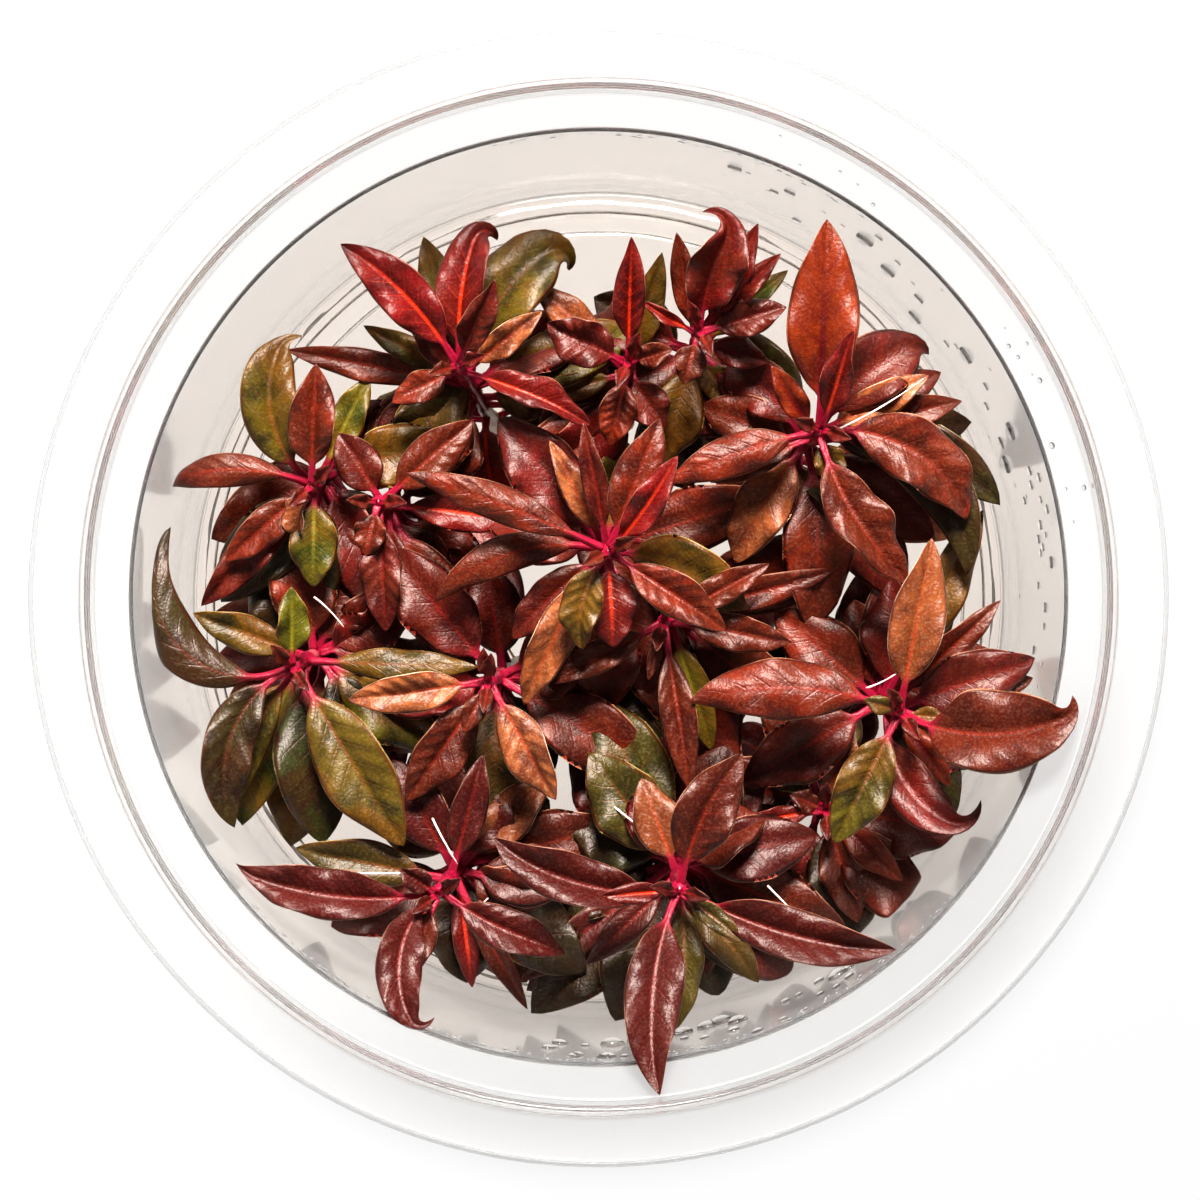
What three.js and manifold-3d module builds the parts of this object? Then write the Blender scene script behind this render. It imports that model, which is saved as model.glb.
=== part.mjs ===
// Mini Alternanthera reineckii in its culture cup: fourteen short crimson shoots with wine-red, lance-shaped
// leaves stand in clear jelly and fill an open, clear plastic cup almost to its mouth.
// Millimetres, +Z up. The origin is the middle of the cup's foot, on the surface that it stands on.
import * as THREE from 'three';
import { mergeVertices } from 'three/addons/utils/BufferGeometryUtils.js';
import Module from 'manifold-3d';

const wasm = await Module();
wasm.setup();

// Driving dimensions of the cup
const RIM_HEIGHT = 55;
const FLANGE_RADIUS = 55;
const MOUTH_RADIUS = 49;
const FOOT_RADIUS = 42;
const FOOT_WIDTH = 2.8;
const FLOOR_RISE = 1.2;
const WALL = 0.8;
const SHELF_RADIUS = 46;
const SHELF_LOW = 47.4;
const SHELF_HIGH = 50;
const LEDGE = 0.7;
const BEAD_HEIGHT = 0.5;
const BEAD_WIDTH = 1.2;
const LIP_DEPTH = 1.6;
const LIP_WIDTH = 0.7;
const CUP_SEGMENTS = 32;
const JELLY_SEGMENTS = 20;

// Driving dimensions of the jelly and the stems
const GAP = 0.3;
const JELLY_TOP = 11;
const MENISCUS = 1;
const STEM_RADIUS = 0.9;
const STEM_SIDES = 5;
const STEM_STEPS = 3;
const STEM_FOOT = 4;
const STEM_BEND_HEIGHT = 0.55;
const STEM_BEND_SHARE = 0.3;

// Driving dimensions of the leaves. A leaf's stations are shares of its length, from its stalk to its tip.
const LEAF_THICKNESS = 0.7;
const STALK_WIDTH = 1;
const STALK_SHARE = 0.16;
const BLADE_SKEW = 0.85;
const BLADE_FULLNESS = 0.8;
const ROLL_RATE = 1.6;
const SPINE_STEPS = 24;
const MAIN_START = STEM_RADIUS + GAP + 0.15;
const SIDE_START = 0.5;
const MAIN_STATIONS = [0, 0.15, 0.42, 0.74, 1];
const SIDE_STATIONS = [0, 0.33, 0.7, 1];
const YOUNG_STATIONS = [0, 0.5, 1];
const LOWER_STATIONS = [0, 0.5, 1];
const LOWER_TURNS = [-50, 50];

const DEGREE = Math.PI / 180;
const MERGE_DISTANCE = 0.0001;

// A main leaf is a piece of its own. A side leaf is one with the stem that it grows from.
const MAIN = 'main';
const SIDE = 'side';

// The shoots, as they stand in the cup seen from above with +Y away from the viewer. foot is where a stem
// leaves the jelly's depth and crown is its top. The columns of a leaf are its kind, the bearing of its tip
// from the crown, its reach from the crown in plan, its width, how far below the crown it grows, the slope at
// its stalk, how much of that slope it loses on the way to its tip, how far it swings sideways, its roll, the
// rise of its two halves from the midrib, and its tone. Angles are in degrees.
const SHOOTS = [
  {
    name: 'northwest',
    foot: [-10.5, 17.5],
    crown: [-14, 23, 40],
    leaves: [
      [MAIN, 134, 16.5, 5.5, 1, 30, 30, 28, -10, 14, 'ruby'],
      [MAIN, 79, 16.5, 5.5, 2, 35, 60, -30, -12, 16, 'ruby'],
      [MAIN, 65, 9, 4, 0, 50, 25, 0, 15, 22, 'wine'],
      [SIDE, 135, 7, 4, 4, 25, 25, 0, 0, 20, 'wine'],
      [SIDE, 209, 7.5, 3.5, 1, 15, 25, 0, 10, 12, 'bronze'],
      [MAIN, 336, 14.5, 4.5, 2, 25, 40, -12, -20, 26, 'ruby'],
      [SIDE, 33, 10, 3.5, 3, 25, 25, 0, 15, 20, 'copper'],
      [SIDE, 105, 13.5, 5, 7, 30, 30, 0, 10, 10, 'olive'],
      [SIDE, 174, 17.5, 3.5, 8, 25, 35, 0, 0, 10, 'bronze'],
      [SIDE, 156, 10.5, 3, 7, 20, 20, 0, 0, 10, 'olive'],
      [SIDE, 46, 18.5, 8, 8, 42, 70, -65, -15, 12, 'olive'],
    ],
  },
  {
    name: 'north',
    foot: [3, 18.5],
    crown: [3, 23.5, 38],
    leaves: [
      [MAIN, 89, 12, 4, 0, 35, 10, 0, 0, 24, 'ruby'],
      [MAIN, 155, 9, 5.5, 1, 30, 45, 0, -10, 16, 'wine'],
      [SIDE, 199, 10, 3, 5, 10, 20, 0, 0, 10, 'olive'],
      [SIDE, 14, 4.5, 3, 0, 40, 30, 0, 0, 20, 'bronze'],
      [MAIN, 257, 8.5, 4, 2, 10, 35, 0, 0, 8, 'bronze'],
      [SIDE, 299, 7.5, 4.5, 3, 15, 35, 10, 0, 12, 'wine'],
      [SIDE, 140, 13, 4, 5, 25, 35, 0, 10, 10, 'copper'],
      [SIDE, 73, 11.5, 3.5, 7, 35, 20, 0, 0, 10, 'olive'],
      [SIDE, 173, 11.5, 4, 8, 15, 25, 0, 0, 10, 'copper'],
    ],
  },
  {
    name: 'north_northeast',
    foot: [9.5, 21.5],
    crown: [10, 26.5, 40],
    leaves: [
      [MAIN, 70, 13.5, 7.5, 1, 40, 35, -25, 18, 28, 'wine'],
      [SIDE, 61, 12, 3.5, 2.5, 35, 30, 10, 0, 20, 'ruby'],
      [MAIN, 43, 11, 3, 2, 30, 20, 0, 0, 16, 'wine'],
      [MAIN, 15, 9, 4, 1, 15, 20, 0, -8, 12, 'wine'],
      [SIDE, 153, 6.5, 2, 2, 20, 15, 0, 0, 30, 'ruby'],
      [SIDE, 254, 5.5, 3.5, 1, 15, 30, 0, 0, 10, 'bronze'],
      [SIDE, 103, 10, 3, 6, 40, 20, 0, 0, 10, 'bronze'],
      [SIDE, 337, 7.5, 3.5, 4, 10, 30, 0, 0, 12, 'wine'],
      [SIDE, 35, 11, 3, 8, 30, 30, 0, 0, 10, 'green'],
      [SIDE, 295, 8, 3.5, 9, 10, 20, 0, 0, 8, 'olive'],
    ],
  },
  {
    name: 'northeast',
    foot: [18.5, 13.5],
    crown: [22, 16.5, 43],
    leaves: [
      [MAIN, 89, 20.5, 7.5, 1, 28, 26, 0, 0, 12, 'ember'],
      [SIDE, 73, 10, 4, 0, 45, 20, 0, -10, 24, 'ruby'],
      [SIDE, 128, 8, 3, 3, 35, 20, 0, 0, 12, 'ember'],
      [SIDE, 26, 13.5, 5, 5, 25, 45, 0, 0, 12, 'wine'],
      [SIDE, 27, 12, 4, 3, 22, 25, 0, 0, 14, 'copper'],
      [SIDE, 12, 14.5, 4, 4, 15, 30, 0, 0, 10, 'bronze'],
      [MAIN, 329, 17, 7, 1, 20, 50, -75, -10, 10, 'ruby'],
      [MAIN, 300, 17.5, 6.5, 1, 20, 45, 35, -14, 18, 'bronze'],
      [SIDE, 205, 12, 3, 4, 10, 20, 0, 0, 14, 'bronze'],
      [SIDE, 288, 5.5, 3.5, 2, 10, 20, 0, 0, 10, 'olive'],
      [SIDE, 238, 15.5, 6, 7, 15, 40, 20, 0, 8, 'copper'],
      [MAIN, 199, 16, 4.5, 1, 22, 35, 15, 10, -12, 'bronze'],
      [SIDE, 316, 20.5, 6, 8, 30, 45, -105, 0, 10, 'moss'],
    ],
  },
  {
    name: 'centre',
    foot: [0, 5.5],
    crown: [1, 4.5, 44],
    leaves: [
      [MAIN, 69, 14, 5, 1, 28, 35, 0, 10, 10, 'bronze'],
      [SIDE, 54, 11.5, 4, 0, 40, 35, 15, 0, 20, 'ruby'],
      [MAIN, 159, 21.5, 4, 1, 22, 36, 10, 0, -14, 'bronze'],
      [MAIN, 326, 14, 5, 1, 20, 40, 0, 0, 20, 'bronze'],
      [MAIN, 255, 10, 4.5, 1, 20, 50, 50, 12, 12, 'olive'],
      [SIDE, 273, 9.5, 5.5, 3, 15, 35, 0, 0, 8, 'ruby'],
      [SIDE, 196, 18, 4, 5, 25, 50, 60, 0, -10, 'bronze'],
      [SIDE, 241, 17.5, 4.5, 4, 10, 45, 15, 0, 10, 'copper'],
      [SIDE, 222, 13, 4.5, 6, 15, 45, 10, 0, 10, 'wine'],
      [SIDE, 118, 12.5, 3, 6, 20, 20, 0, 0, 12, 'copper'],
      [SIDE, 101, 13, 3, 4, 30, 25, 0, 0, 20, 'wine'],
    ],
  },
  {
    name: 'inner_east',
    foot: [9.5, -1.5],
    crown: [6.5, -2.5, 38],
    leaves: [
      [MAIN, 279, 17, 4, 0, 15, 30, 0, 10, 16, 'bronze'],
      [MAIN, 208, 13, 3.5, 1, 15, 25, 0, 0, 12, 'bronze'],
      [MAIN, 29, 12, 3.5, 1, 20, 20, 0, 0, 16, 'bronze'],
      [SIDE, 255, 6, 1.5, 0, 15, 20, 0, 0, 10, 'bronze'],
      [SIDE, 351, 13, 4, 3, 15, 25, 0, 0, 10, 'bronze'],
      [SIDE, 291, 14, 4, 6, 0, 25, 0, 0, 8, 'green'],
      [SIDE, 17, 18, 3.5, 5, 20, 25, 0, 0, 12, 'bronze'],
    ],
  },
  {
    name: 'east',
    foot: [25.5, -9],
    crown: [30, -11.5, 42],
    leaves: [
      [MAIN, 81, 17.5, 6, 1, 30, 30, 0, 0, 16, 'copper'],
      [MAIN, 3, 17.5, 7.5, 0, 42, 30, 60, -10, 22, 'wine'],
      [MAIN, 243, 14.5, 6, 1, 12, 30, 0, 10, 14, 'olive'],
      [MAIN, 177, 21, 6.5, 2, 20, 35, 40, 0, -12, 'bronze'],
      [SIDE, 353, 4.5, 2, 0, 28, 20, 0, 0, 10, 'olive'],
      [SIDE, 159, 4, 2, 0, 30, 20, 0, 0, 10, 'olive'],
      [SIDE, 14, 14, 4, 5, 25, 35, 0, 0, 10, 'bronze'],
      [SIDE, 48, 15, 3.5, 6, 25, 30, 0, 0, 14, 'bronze'],
      [SIDE, 305, 9, 3, 4, 5, 20, 0, 0, 10, 'ember'],
      [SIDE, 307, 14.5, 5, 7, 30, 30, 70, 0, 14, 'wine'],
      [SIDE, 67, 22, 5, 9, 20, 30, 0, 0, 8, 'olive'],
    ],
  },
  {
    name: 'south',
    foot: [7.5, -23.5],
    crown: [8, -29, 43],
    leaves: [
      [MAIN, 66, 15, 6.5, 1, 28, 25, -25, 10, 14, 'bronze'],
      [MAIN, 164, 19, 6.5, 1, 20, 30, -50, 12, 24, 'wine'],
      [MAIN, 345, 22, 6.5, 1, 20, 25, 28, -12, 24, 'wine'],
      [MAIN, 264, 19.5, 6.5, 1, 34, 18, 38, 0, 18, 'wine'],
      [SIDE, 269, 14, 4, 5, 20, 30, -20, 0, 8, 'olive'],
      [SIDE, 322, 8, 2.5, 0, 25, 20, 0, 0, 14, 'olive'],
      [SIDE, 183, 8, 2.5, 0, 25, 20, 0, 0, 20, 'ruby'],
      [SIDE, 310, 12.5, 4, 6, 10, 25, 0, 0, 8, 'olive'],
      [SIDE, 109, 11.5, 5, 6, 15, 25, 0, 0, 8, 'copper'],
      [SIDE, 124, 16, 7.5, 9, 10, 20, 0, 0, 6, 'olive'],
      [SIDE, 220, 12, 3.5, 6, 10, 25, 0, 0, 10, 'wine'],
      [SIDE, 212, 19, 4, 12, 5, 15, 0, 0, 8, 'wine'],
    ],
  },
  {
    name: 'south_southwest',
    foot: [-10.5, -23],
    crown: [-16, -29.5, 41],
    leaves: [
      [MAIN, 172, 20.5, 6, 1, 22, 30, -36, 8, 20, 'wine'],
      [MAIN, 267, 14, 5, 1, 46, 40, 100, 0, 14, 'wine'],
      [SIDE, 250, 9, 3.5, 0, 15, 25, 0, 0, 12, 'bronze'],
      [MAIN, 335, 14, 5, 1, 18, 35, 15, -12, 18, 'wine'],
      [SIDE, 163, 15, 5, 5, 12, 25, 0, 0, 10, 'olive'],
      [SIDE, 72, 14.5, 4, 6, 25, 25, 0, 0, 14, 'wine'],
      [SIDE, 143, 4.5, 3, 0, 35, 20, 0, 0, 20, 'wine'],
      [SIDE, 306, 15, 2.5, 7, 5, 25, 0, 0, 10, 'bronze'],
      [SIDE, 288, 10.5, 3, 9, 5, 15, 0, 0, 10, 'ruby'],
      [SIDE, 46, 16, 5, 9, 15, 20, 0, 0, 8, 'copper'],
    ],
  },
  {
    name: 'inner_southwest',
    foot: [-8.5, -7],
    crown: [-11, -8.5, 40],
    leaves: [
      [MAIN, 187, 14, 4.5, 1, 15, 25, 0, 0, 14, 'copper'],
      [MAIN, 300, 13.5, 5, 1, 12, 25, 0, 10, 10, 'copper'],
      [SIDE, 244, 5.5, 2.5, 0, 20, 30, 0, 0, 12, 'bronze'],
      [SIDE, 96, 3.5, 2, 0, 50, 20, 0, 0, 20, 'wine'],
      [MAIN, 235, 14.5, 5.5, 3, 10, 25, 0, -8, 10, 'bronze'],
    ],
  },
  {
    name: 'west_southwest',
    foot: [-24.5, -3],
    crown: [-30.5, -7, 40],
    leaves: [
      [MAIN, 129, 17.5, 5.5, 1, 22, 45, -145, 0, -16, 'moss'],
      [SIDE, 89, 8, 4, 0, 30, 20, 0, 15, 16, 'green'],
      [MAIN, 250, 17, 5.5, 1, 15, 35, 85, 0, 12, 'moss'],
      [SIDE, 245, 16, 4, 3, 5, 25, 25, 0, 10, 'olive'],
      [MAIN, 302, 21, 7.5, 1, 15, 30, 0, 0, 8, 'olive'],
      [SIDE, 251, 17, 7, 7, 5, 20, 30, 0, 8, 'green'],
      [SIDE, 360, 18.5, 3.5, 4, 15, 20, 0, 0, -10, 'olive'],
      [SIDE, 152, 11.5, 4, 6, 20, 25, 0, 0, 10, 'olive'],
    ],
  },
  {
    name: 'inner_west',
    foot: [-19.5, 8.5],
    crown: [-22, 9.5, 38],
    leaves: [
      [SIDE, 257, 5.5, 3.5, 0, 15, 30, 0, 0, 12, 'bronze'],
      [MAIN, 273, 13, 4.5, 1, 10, 30, 0, 10, 12, 'wine'],
      [SIDE, 120, 8, 5, 3, 25, 35, 0, 0, 14, 'wine'],
      [MAIN, 41, 12.5, 5, 2, 22, 35, 0, 0, 12, 'bronze'],
      [SIDE, 353, 14.5, 4, 4, 10, 20, 0, 0, 10, 'ruby'],
      [SIDE, 283, 12, 3, 5, 5, 20, 0, 0, 10, 'wine'],
    ],
  },
  {
    name: 'west_northwest',
    foot: [-27, 14.5],
    crown: [-28.5, 11, 40],
    leaves: [
      [MAIN, 87, 12, 5.5, 0, 32, 25, 0, -8, 18, 'bronze'],
      [MAIN, 96, 16, 6, 2, 35, 50, -90, 0, 12, 'olive'],
      [MAIN, 182, 15, 3.5, 1, 32, 85, 40, 0, -16, 'bronze'],
      [SIDE, 220, 11.5, 4, 2, 10, 30, 0, 0, 12, 'bronze'],
      [SIDE, 256, 5, 4, 1, 20, 60, 40, 40, 30, 'copper'],
      [SIDE, 270, 10, 5, 2, 8, 30, 0, 0, 8, 'green'],
      [SIDE, 226, 16.5, 4.5, 5, 12, 30, 0, 0, 14, 'wine'],
      [SIDE, 64, 12.5, 4, 7, 20, 20, 0, 0, 12, 'green'],
    ],
  },
  {
    name: 'southeast',
    foot: [20.5, -18],
    crown: [23, -21.5, 31],
    leaves: [
      [SIDE, 286, 12, 5, 1, 10, 25, 0, 0, 12, 'bronze'],
      [SIDE, 317, 10.5, 3.5, 0, 20, 25, 0, 0, 12, 'ember'],
      [SIDE, 331, 12.5, 4.5, 5, 5, 15, 0, 0, 8, 'green'],
      [SIDE, 189, 9, 2.5, 0, 20, 20, 0, 0, 14, 'ruby'],
      [SIDE, 157, 4, 2.5, 0, 35, 20, 0, 0, 14, 'bronze'],
      [SIDE, 134, 9, 4.5, 4, 5, 15, 0, 0, 8, 'green'],
      [SIDE, 73, 8.5, 5, 2, 25, 25, 0, 0, 12, 'copper'],
    ],
  },
];

const TONES = {
  ruby: 0x7c1f24,
  wine: 0x54191d,
  bronze: 0x6a3428,
  copper: 0x8c4a31,
  ember: 0xa8371c,
  olive: 0x5a5228,
  moss: 0x3b3a22,
  green: 0x5d7a2e,
};

const cupPlastic = new THREE.MeshStandardMaterial({
  color: 0xeef1f3,
  roughness: 0.08,
  metalness: 0,
  transparent: true,
  opacity: 0.3,
});

const jellyMaterial = new THREE.MeshStandardMaterial({
  color: 0xe9d6cf,
  roughness: 0.25,
  metalness: 0,
  transparent: true,
  opacity: 0.6,
});

const stemMaterial = new THREE.MeshStandardMaterial({ color: 0x8e1640, roughness: 0.45, metalness: 0 });

// A closed solid from a flat list of coordinates and a flat list of triangle corners
function solidFrom(positions, triangles) {
  return new wasm.Manifold(new wasm.Mesh({
    numProp: 3,
    vertProperties: new Float32Array(positions),
    triVerts: new Uint32Array(triangles),
  }));
}

// A geometry's closed solid, with its shared corners merged and its empty triangles left out
function toSolid(geometry) {
  geometry.deleteAttribute('normal');
  geometry.deleteAttribute('uv');
  const merged = mergeVertices(geometry, MERGE_DISTANCE);
  const corners = merged.index.array;
  const kept = [];
  for (let i = 0; i < corners.length; i += 3) {
    const [a, b, c] = corners.subarray(i, i + 3);
    if (a !== b && b !== c && c !== a) {
      kept.push(a, b, c);
    }
  }
  return solidFrom(merged.attributes.position.array, kept);
}

// The named mesh of a finished solid
function toMesh(name, solid, material) {
  const { numProp, vertProperties, triVerts } = solid.getMesh();
  const geometry = new THREE.BufferGeometry();
  geometry.setAttribute('position', new THREE.BufferAttribute(vertProperties, numProp));
  geometry.setIndex(new THREE.BufferAttribute(triVerts, 1));
  geometry.computeVertexNormals();
  const mesh = new THREE.Mesh(geometry, material);
  mesh.name = name;
  return mesh;
}

// A turned solid from its half outline of radius and height
function turned(outline, segments) {
  const points = outline.map(([radius, height]) => new THREE.Vector2(radius, height));
  const geometry = new THREE.LatheGeometry(points, segments);
  geometry.rotateX(Math.PI / 2);
  return toSolid(geometry);
}

// The inner radius of the tapering wall at a height
function wallRadius(height) {
  const low = FOOT_RADIUS - WALL;
  const high = SHELF_RADIUS - LEDGE;
  return low + (high - low) * (height - FLOOR_RISE) / (SHELF_LOW - FLOOR_RISE);
}

// The cup: foot ring, wall, sloping step, bead and flange with its turned-down lip, in one outline
function makeCup() {
  const flangeUnder = RIM_HEIGHT - WALL;
  const floorTop = FLOOR_RISE + WALL;
  const foot = FOOT_RADIUS - FOOT_WIDTH;
  return turned([
    [0, FLOOR_RISE],
    [foot - 0.4, FLOOR_RISE],
    [foot, 0],
    [FOOT_RADIUS - 0.5, 0],
    [FOOT_RADIUS, 0.6],
    [SHELF_RADIUS + 0.1, SHELF_LOW - WALL],
    [MOUTH_RADIUS + WALL, SHELF_HIGH - WALL / 2],
    [MOUTH_RADIUS + WALL, flangeUnder],
    [FLANGE_RADIUS - LIP_WIDTH, flangeUnder],
    [FLANGE_RADIUS - LIP_WIDTH, RIM_HEIGHT - LIP_DEPTH],
    [FLANGE_RADIUS, RIM_HEIGHT - LIP_DEPTH],
    [FLANGE_RADIUS, RIM_HEIGHT],
    [MOUTH_RADIUS + BEAD_WIDTH, RIM_HEIGHT],
    [MOUTH_RADIUS + BEAD_WIDTH * 0.75, RIM_HEIGHT + BEAD_HEIGHT],
    [MOUTH_RADIUS + BEAD_WIDTH * 0.25, RIM_HEIGHT + BEAD_HEIGHT],
    [MOUTH_RADIUS, RIM_HEIGHT],
    [MOUTH_RADIUS, SHELF_HIGH],
    [SHELF_RADIUS, SHELF_LOW + 0.2],
    [wallRadius(SHELF_LOW), SHELF_LOW - 0.5],
    [wallRadius(floorTop + 1), floorTop + 1],
    [wallRadius(floorTop) - 0.9, floorTop],
    [0, floorTop],
  ], CUP_SEGMENTS);
}

// The jelly: a shallow disc that climbs the wall a little, with a socket for each stem
function makeJelly(stemCutters) {
  const bottom = FLOOR_RISE + WALL + GAP;
  const top = JELLY_TOP + MENISCUS;
  let jelly = turned([
    [0, bottom],
    [wallRadius(bottom) - 1.6, bottom],
    [wallRadius(bottom + 1) - GAP * 1.5, bottom + 1],
    [wallRadius(top) - GAP * 1.5, top],
    [wallRadius(top) - GAP * 2.5, top],
    [wallRadius(top) - 2.2, JELLY_TOP],
    [0, JELLY_TOP],
  ], JELLY_SEGMENTS);
  for (const cutter of stemCutters) {
    jelly = jelly.subtract(cutter);
  }
  return jelly;
}

// The room inside the cup that the leaves may fill, a gap away from its wall and step
function makeRoom() {
  const low = JELLY_TOP + MENISCUS + GAP;
  return turned([
    [0, low],
    [wallRadius(low) - GAP * 1.5, low],
    [wallRadius(SHELF_LOW) - GAP * 1.5, SHELF_LOW - 0.3],
    [SHELF_RADIUS - GAP * 1.2, SHELF_LOW + 0.6],
    [MOUTH_RADIUS - GAP * 1.5, SHELF_HIGH + 0.4],
    [MOUTH_RADIUS - GAP * 1.5, RIM_HEIGHT],
    [0, RIM_HEIGHT],
  ], CUP_SEGMENTS);
}

// A stem's middle line, from its foot in the jelly to its crown
function stemCurve({ foot: [footX, footY], crown: [x, y, z] }) {
  const share = STEM_BEND_SHARE;
  const bend = new THREE.Vector3(footX + (x - footX) * share, footY + (y - footY) * share, z * STEM_BEND_HEIGHT);
  return new THREE.QuadraticBezierCurve3(
    new THREE.Vector3(footX, footY, STEM_FOOT),
    bend,
    new THREE.Vector3(x, y, z),
  );
}

// The point of a stem at a height, found by halving
function stemPoint(shoot, height) {
  const curve = stemCurve(shoot);
  let low = 0;
  let high = 1;
  for (let i = 0; i < 30; i += 1) {
    const middle = (low + high) / 2;
    if (curve.getPoint(middle).z < height) {
      low = middle;
    } else {
      high = middle;
    }
  }
  return curve.getPoint(low);
}

// A bare stem, thicker all round by swell
function makeStem(shoot, swell) {
  const radius = STEM_RADIUS + swell;
  const section = new THREE.Shape();
  for (let i = 0; i < STEM_SIDES; i += 1) {
    const angle = i / STEM_SIDES * 2 * Math.PI;
    const corner = [radius * Math.cos(angle), radius * Math.sin(angle)];
    if (i === 0) {
      section.moveTo(...corner);
    } else {
      section.lineTo(...corner);
    }
  }
  section.closePath();
  return toSolid(new THREE.ExtrudeGeometry(section, {
    steps: STEM_STEPS,
    bevelEnabled: false,
    extrudePath: stemCurve(shoot),
  }));
}

// A leaf's middle line: its slope falls and its heading swings evenly along it, and it is then turned and
// sized so that it runs in plan from start to target. Returns the place, heading and slope at a share.
function leafSpine(leaf, start, target) {
  const points = [new THREE.Vector3()];
  for (let i = 0; i < SPINE_STEPS; i += 1) {
    const share = (i + 0.5) / SPINE_STEPS;
    const heading = leaf.swing * (share - 0.5) * DEGREE;
    const slope = (leaf.lift - leaf.droop * share) * DEGREE;
    const step = new THREE.Vector3().setFromSphericalCoords(1, Math.PI / 2 - slope, Math.PI / 2 + heading);
    points.push(points[i].clone().add(new THREE.Vector3(step.x, -step.z, step.y)));
  }
  const end = points[SPINE_STEPS];
  const turn = Math.atan2(target.y - start.y, target.x - start.x) - Math.atan2(end.y, end.x);
  const size = Math.hypot(target.x - start.x, target.y - start.y) / Math.hypot(end.x, end.y);
  return (share) => {
    const index = Math.min(Math.floor(share * SPINE_STEPS), SPINE_STEPS - 1);
    const place = points[index].clone().lerp(points[index + 1], share * SPINE_STEPS - index);
    place.applyAxisAngle(new THREE.Vector3(0, 0, 1), turn).multiplyScalar(size).add(start);
    return {
      place,
      heading: leaf.swing * (share - 0.5) * DEGREE + turn,
      slope: (leaf.lift - leaf.droop * share) * DEGREE,
    };
  };
}

// Half a leaf's width at a share of its length: a narrow stalk, then a lance-shaped blade
function halfWidth(leaf, share) {
  if (share < STALK_SHARE) {
    return STALK_WIDTH / 2;
  }
  const along = (share - STALK_SHARE) / (1 - STALK_SHARE);
  const blade = leaf.width / 2 * Math.sin(Math.PI * along ** BLADE_SKEW) ** BLADE_FULLNESS;
  return Math.max(blade, STALK_WIDTH / 2 * (1 - along));
}

// A leaf solid with a low roof-shaped section, thicker all round by swell
function makeLeaf(leaf, start, target, stations, swell) {
  const spine = leafSpine(leaf, start, target);
  const positions = [];
  const triangles = [];
  const rings = stations.length - 1;
  const rise = leaf.fold * DEGREE;
  const half = LEAF_THICKNESS / 2 + swell;
  stations.forEach((share, ring) => {
    const { place, heading, slope } = spine(share);
    const along = new THREE.Vector3(
      Math.cos(slope) * Math.cos(heading),
      Math.cos(slope) * Math.sin(heading),
      Math.sin(slope),
    );
    const roll = leaf.roll * DEGREE * Math.min(1, share * ROLL_RATE);
    const side = new THREE.Vector3(-Math.sin(heading), Math.cos(heading), 0).applyAxisAngle(along, roll);
    const up = new THREE.Vector3().crossVectors(along, side);
    if (ring === rings) {
      place.addScaledVector(along, swell);
      positions.push(...place.toArray());
      return;
    }
    if (ring === 0) {
      place.addScaledVector(along, -swell);
    }
    const width = halfWidth(leaf, share) + swell;
    const corners = [
      [width * Math.cos(rise), width * Math.sin(rise)],
      [0, half],
      [-width * Math.cos(rise), width * Math.sin(rise)],
      [0, -half],
    ];
    for (const [across, above] of corners) {
      const corner = place.clone().addScaledVector(side, across).addScaledVector(up, above);
      positions.push(...corner.toArray());
    }
  });
  for (let ring = 0; ring < rings; ring += 1) {
    for (let k = 0; k < 4; k += 1) {
      const a = ring * 4 + k;
      const b = ring * 4 + (k + 1) % 4;
      if (ring === rings - 1) {
        triangles.push(a, b, rings * 4);
      } else {
        triangles.push(a, b, b + 4, a, b + 4, a + 4);
      }
    }
  }
  triangles.push(0, 3, 1, 1, 3, 2);
  return solidFrom(positions, triangles);
}

// Where a leaf leaves its stem and where its tip is in plan, offset millimetres from the stem's middle
function leafEnds(shoot, leaf, offset) {
  const [x, y, z] = shoot.crown;
  const start = stemPoint(shoot, z - leaf.drop);
  const target = new THREE.Vector3(
    x + leaf.reach * Math.cos(leaf.bearing * DEGREE),
    y + leaf.reach * Math.sin(leaf.bearing * DEGREE),
    0,
  );
  const heading = Math.atan2(target.y - start.y, target.x - start.x) - leaf.swing / 2 * DEGREE;
  start.x += offset * Math.cos(heading);
  start.y += offset * Math.sin(heading);
  return [start, target];
}

// The leaves of a shoot, as named values
function readLeaves(shoot) {
  return shoot.leaves.map(([kind, bearing, reach, width, drop, lift, droop, swing, roll, fold, tone]) => (
    { kind, bearing, reach, width, drop, lift, droop, swing, roll, fold, tone }
  ));
}

// The two small steep leaves that make a shoot's bud
function youngLeaves(shootIndex) {
  return [20, 200].map((turn) => ({
    bearing: turn + shootIndex * 47,
    reach: 3,
    width: 1.8,
    drop: 0,
    lift: 62,
    droop: 20,
    swing: 0,
    roll: 0,
    fold: 20,
  }));
}

// The old leaves low on a stem, which spread into the shade towards the middle of the cup
function lowerLeaves(shoot, shootIndex) {
  const [x, y] = shoot.foot;
  const inward = Math.atan2(-y, -x) / DEGREE;
  const bareLength = shoot.crown[2] - JELLY_TOP;
  return LOWER_TURNS.map((turn, index) => ({
    bearing: inward + turn + shootIndex % 3 * 8,
    reach: 12 - index * 1.5,
    width: 6,
    drop: bareLength * (0.36 + index * 0.13),
    lift: 22 - index * 5,
    droop: 40,
    swing: 0,
    roll: 0,
    fold: 8,
  }));
}

function boxesMeet(one, other) {
  return [0, 1, 2].every((k) => one.min[k] < other.max[k] && other.min[k] < one.max[k]);
}

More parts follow.
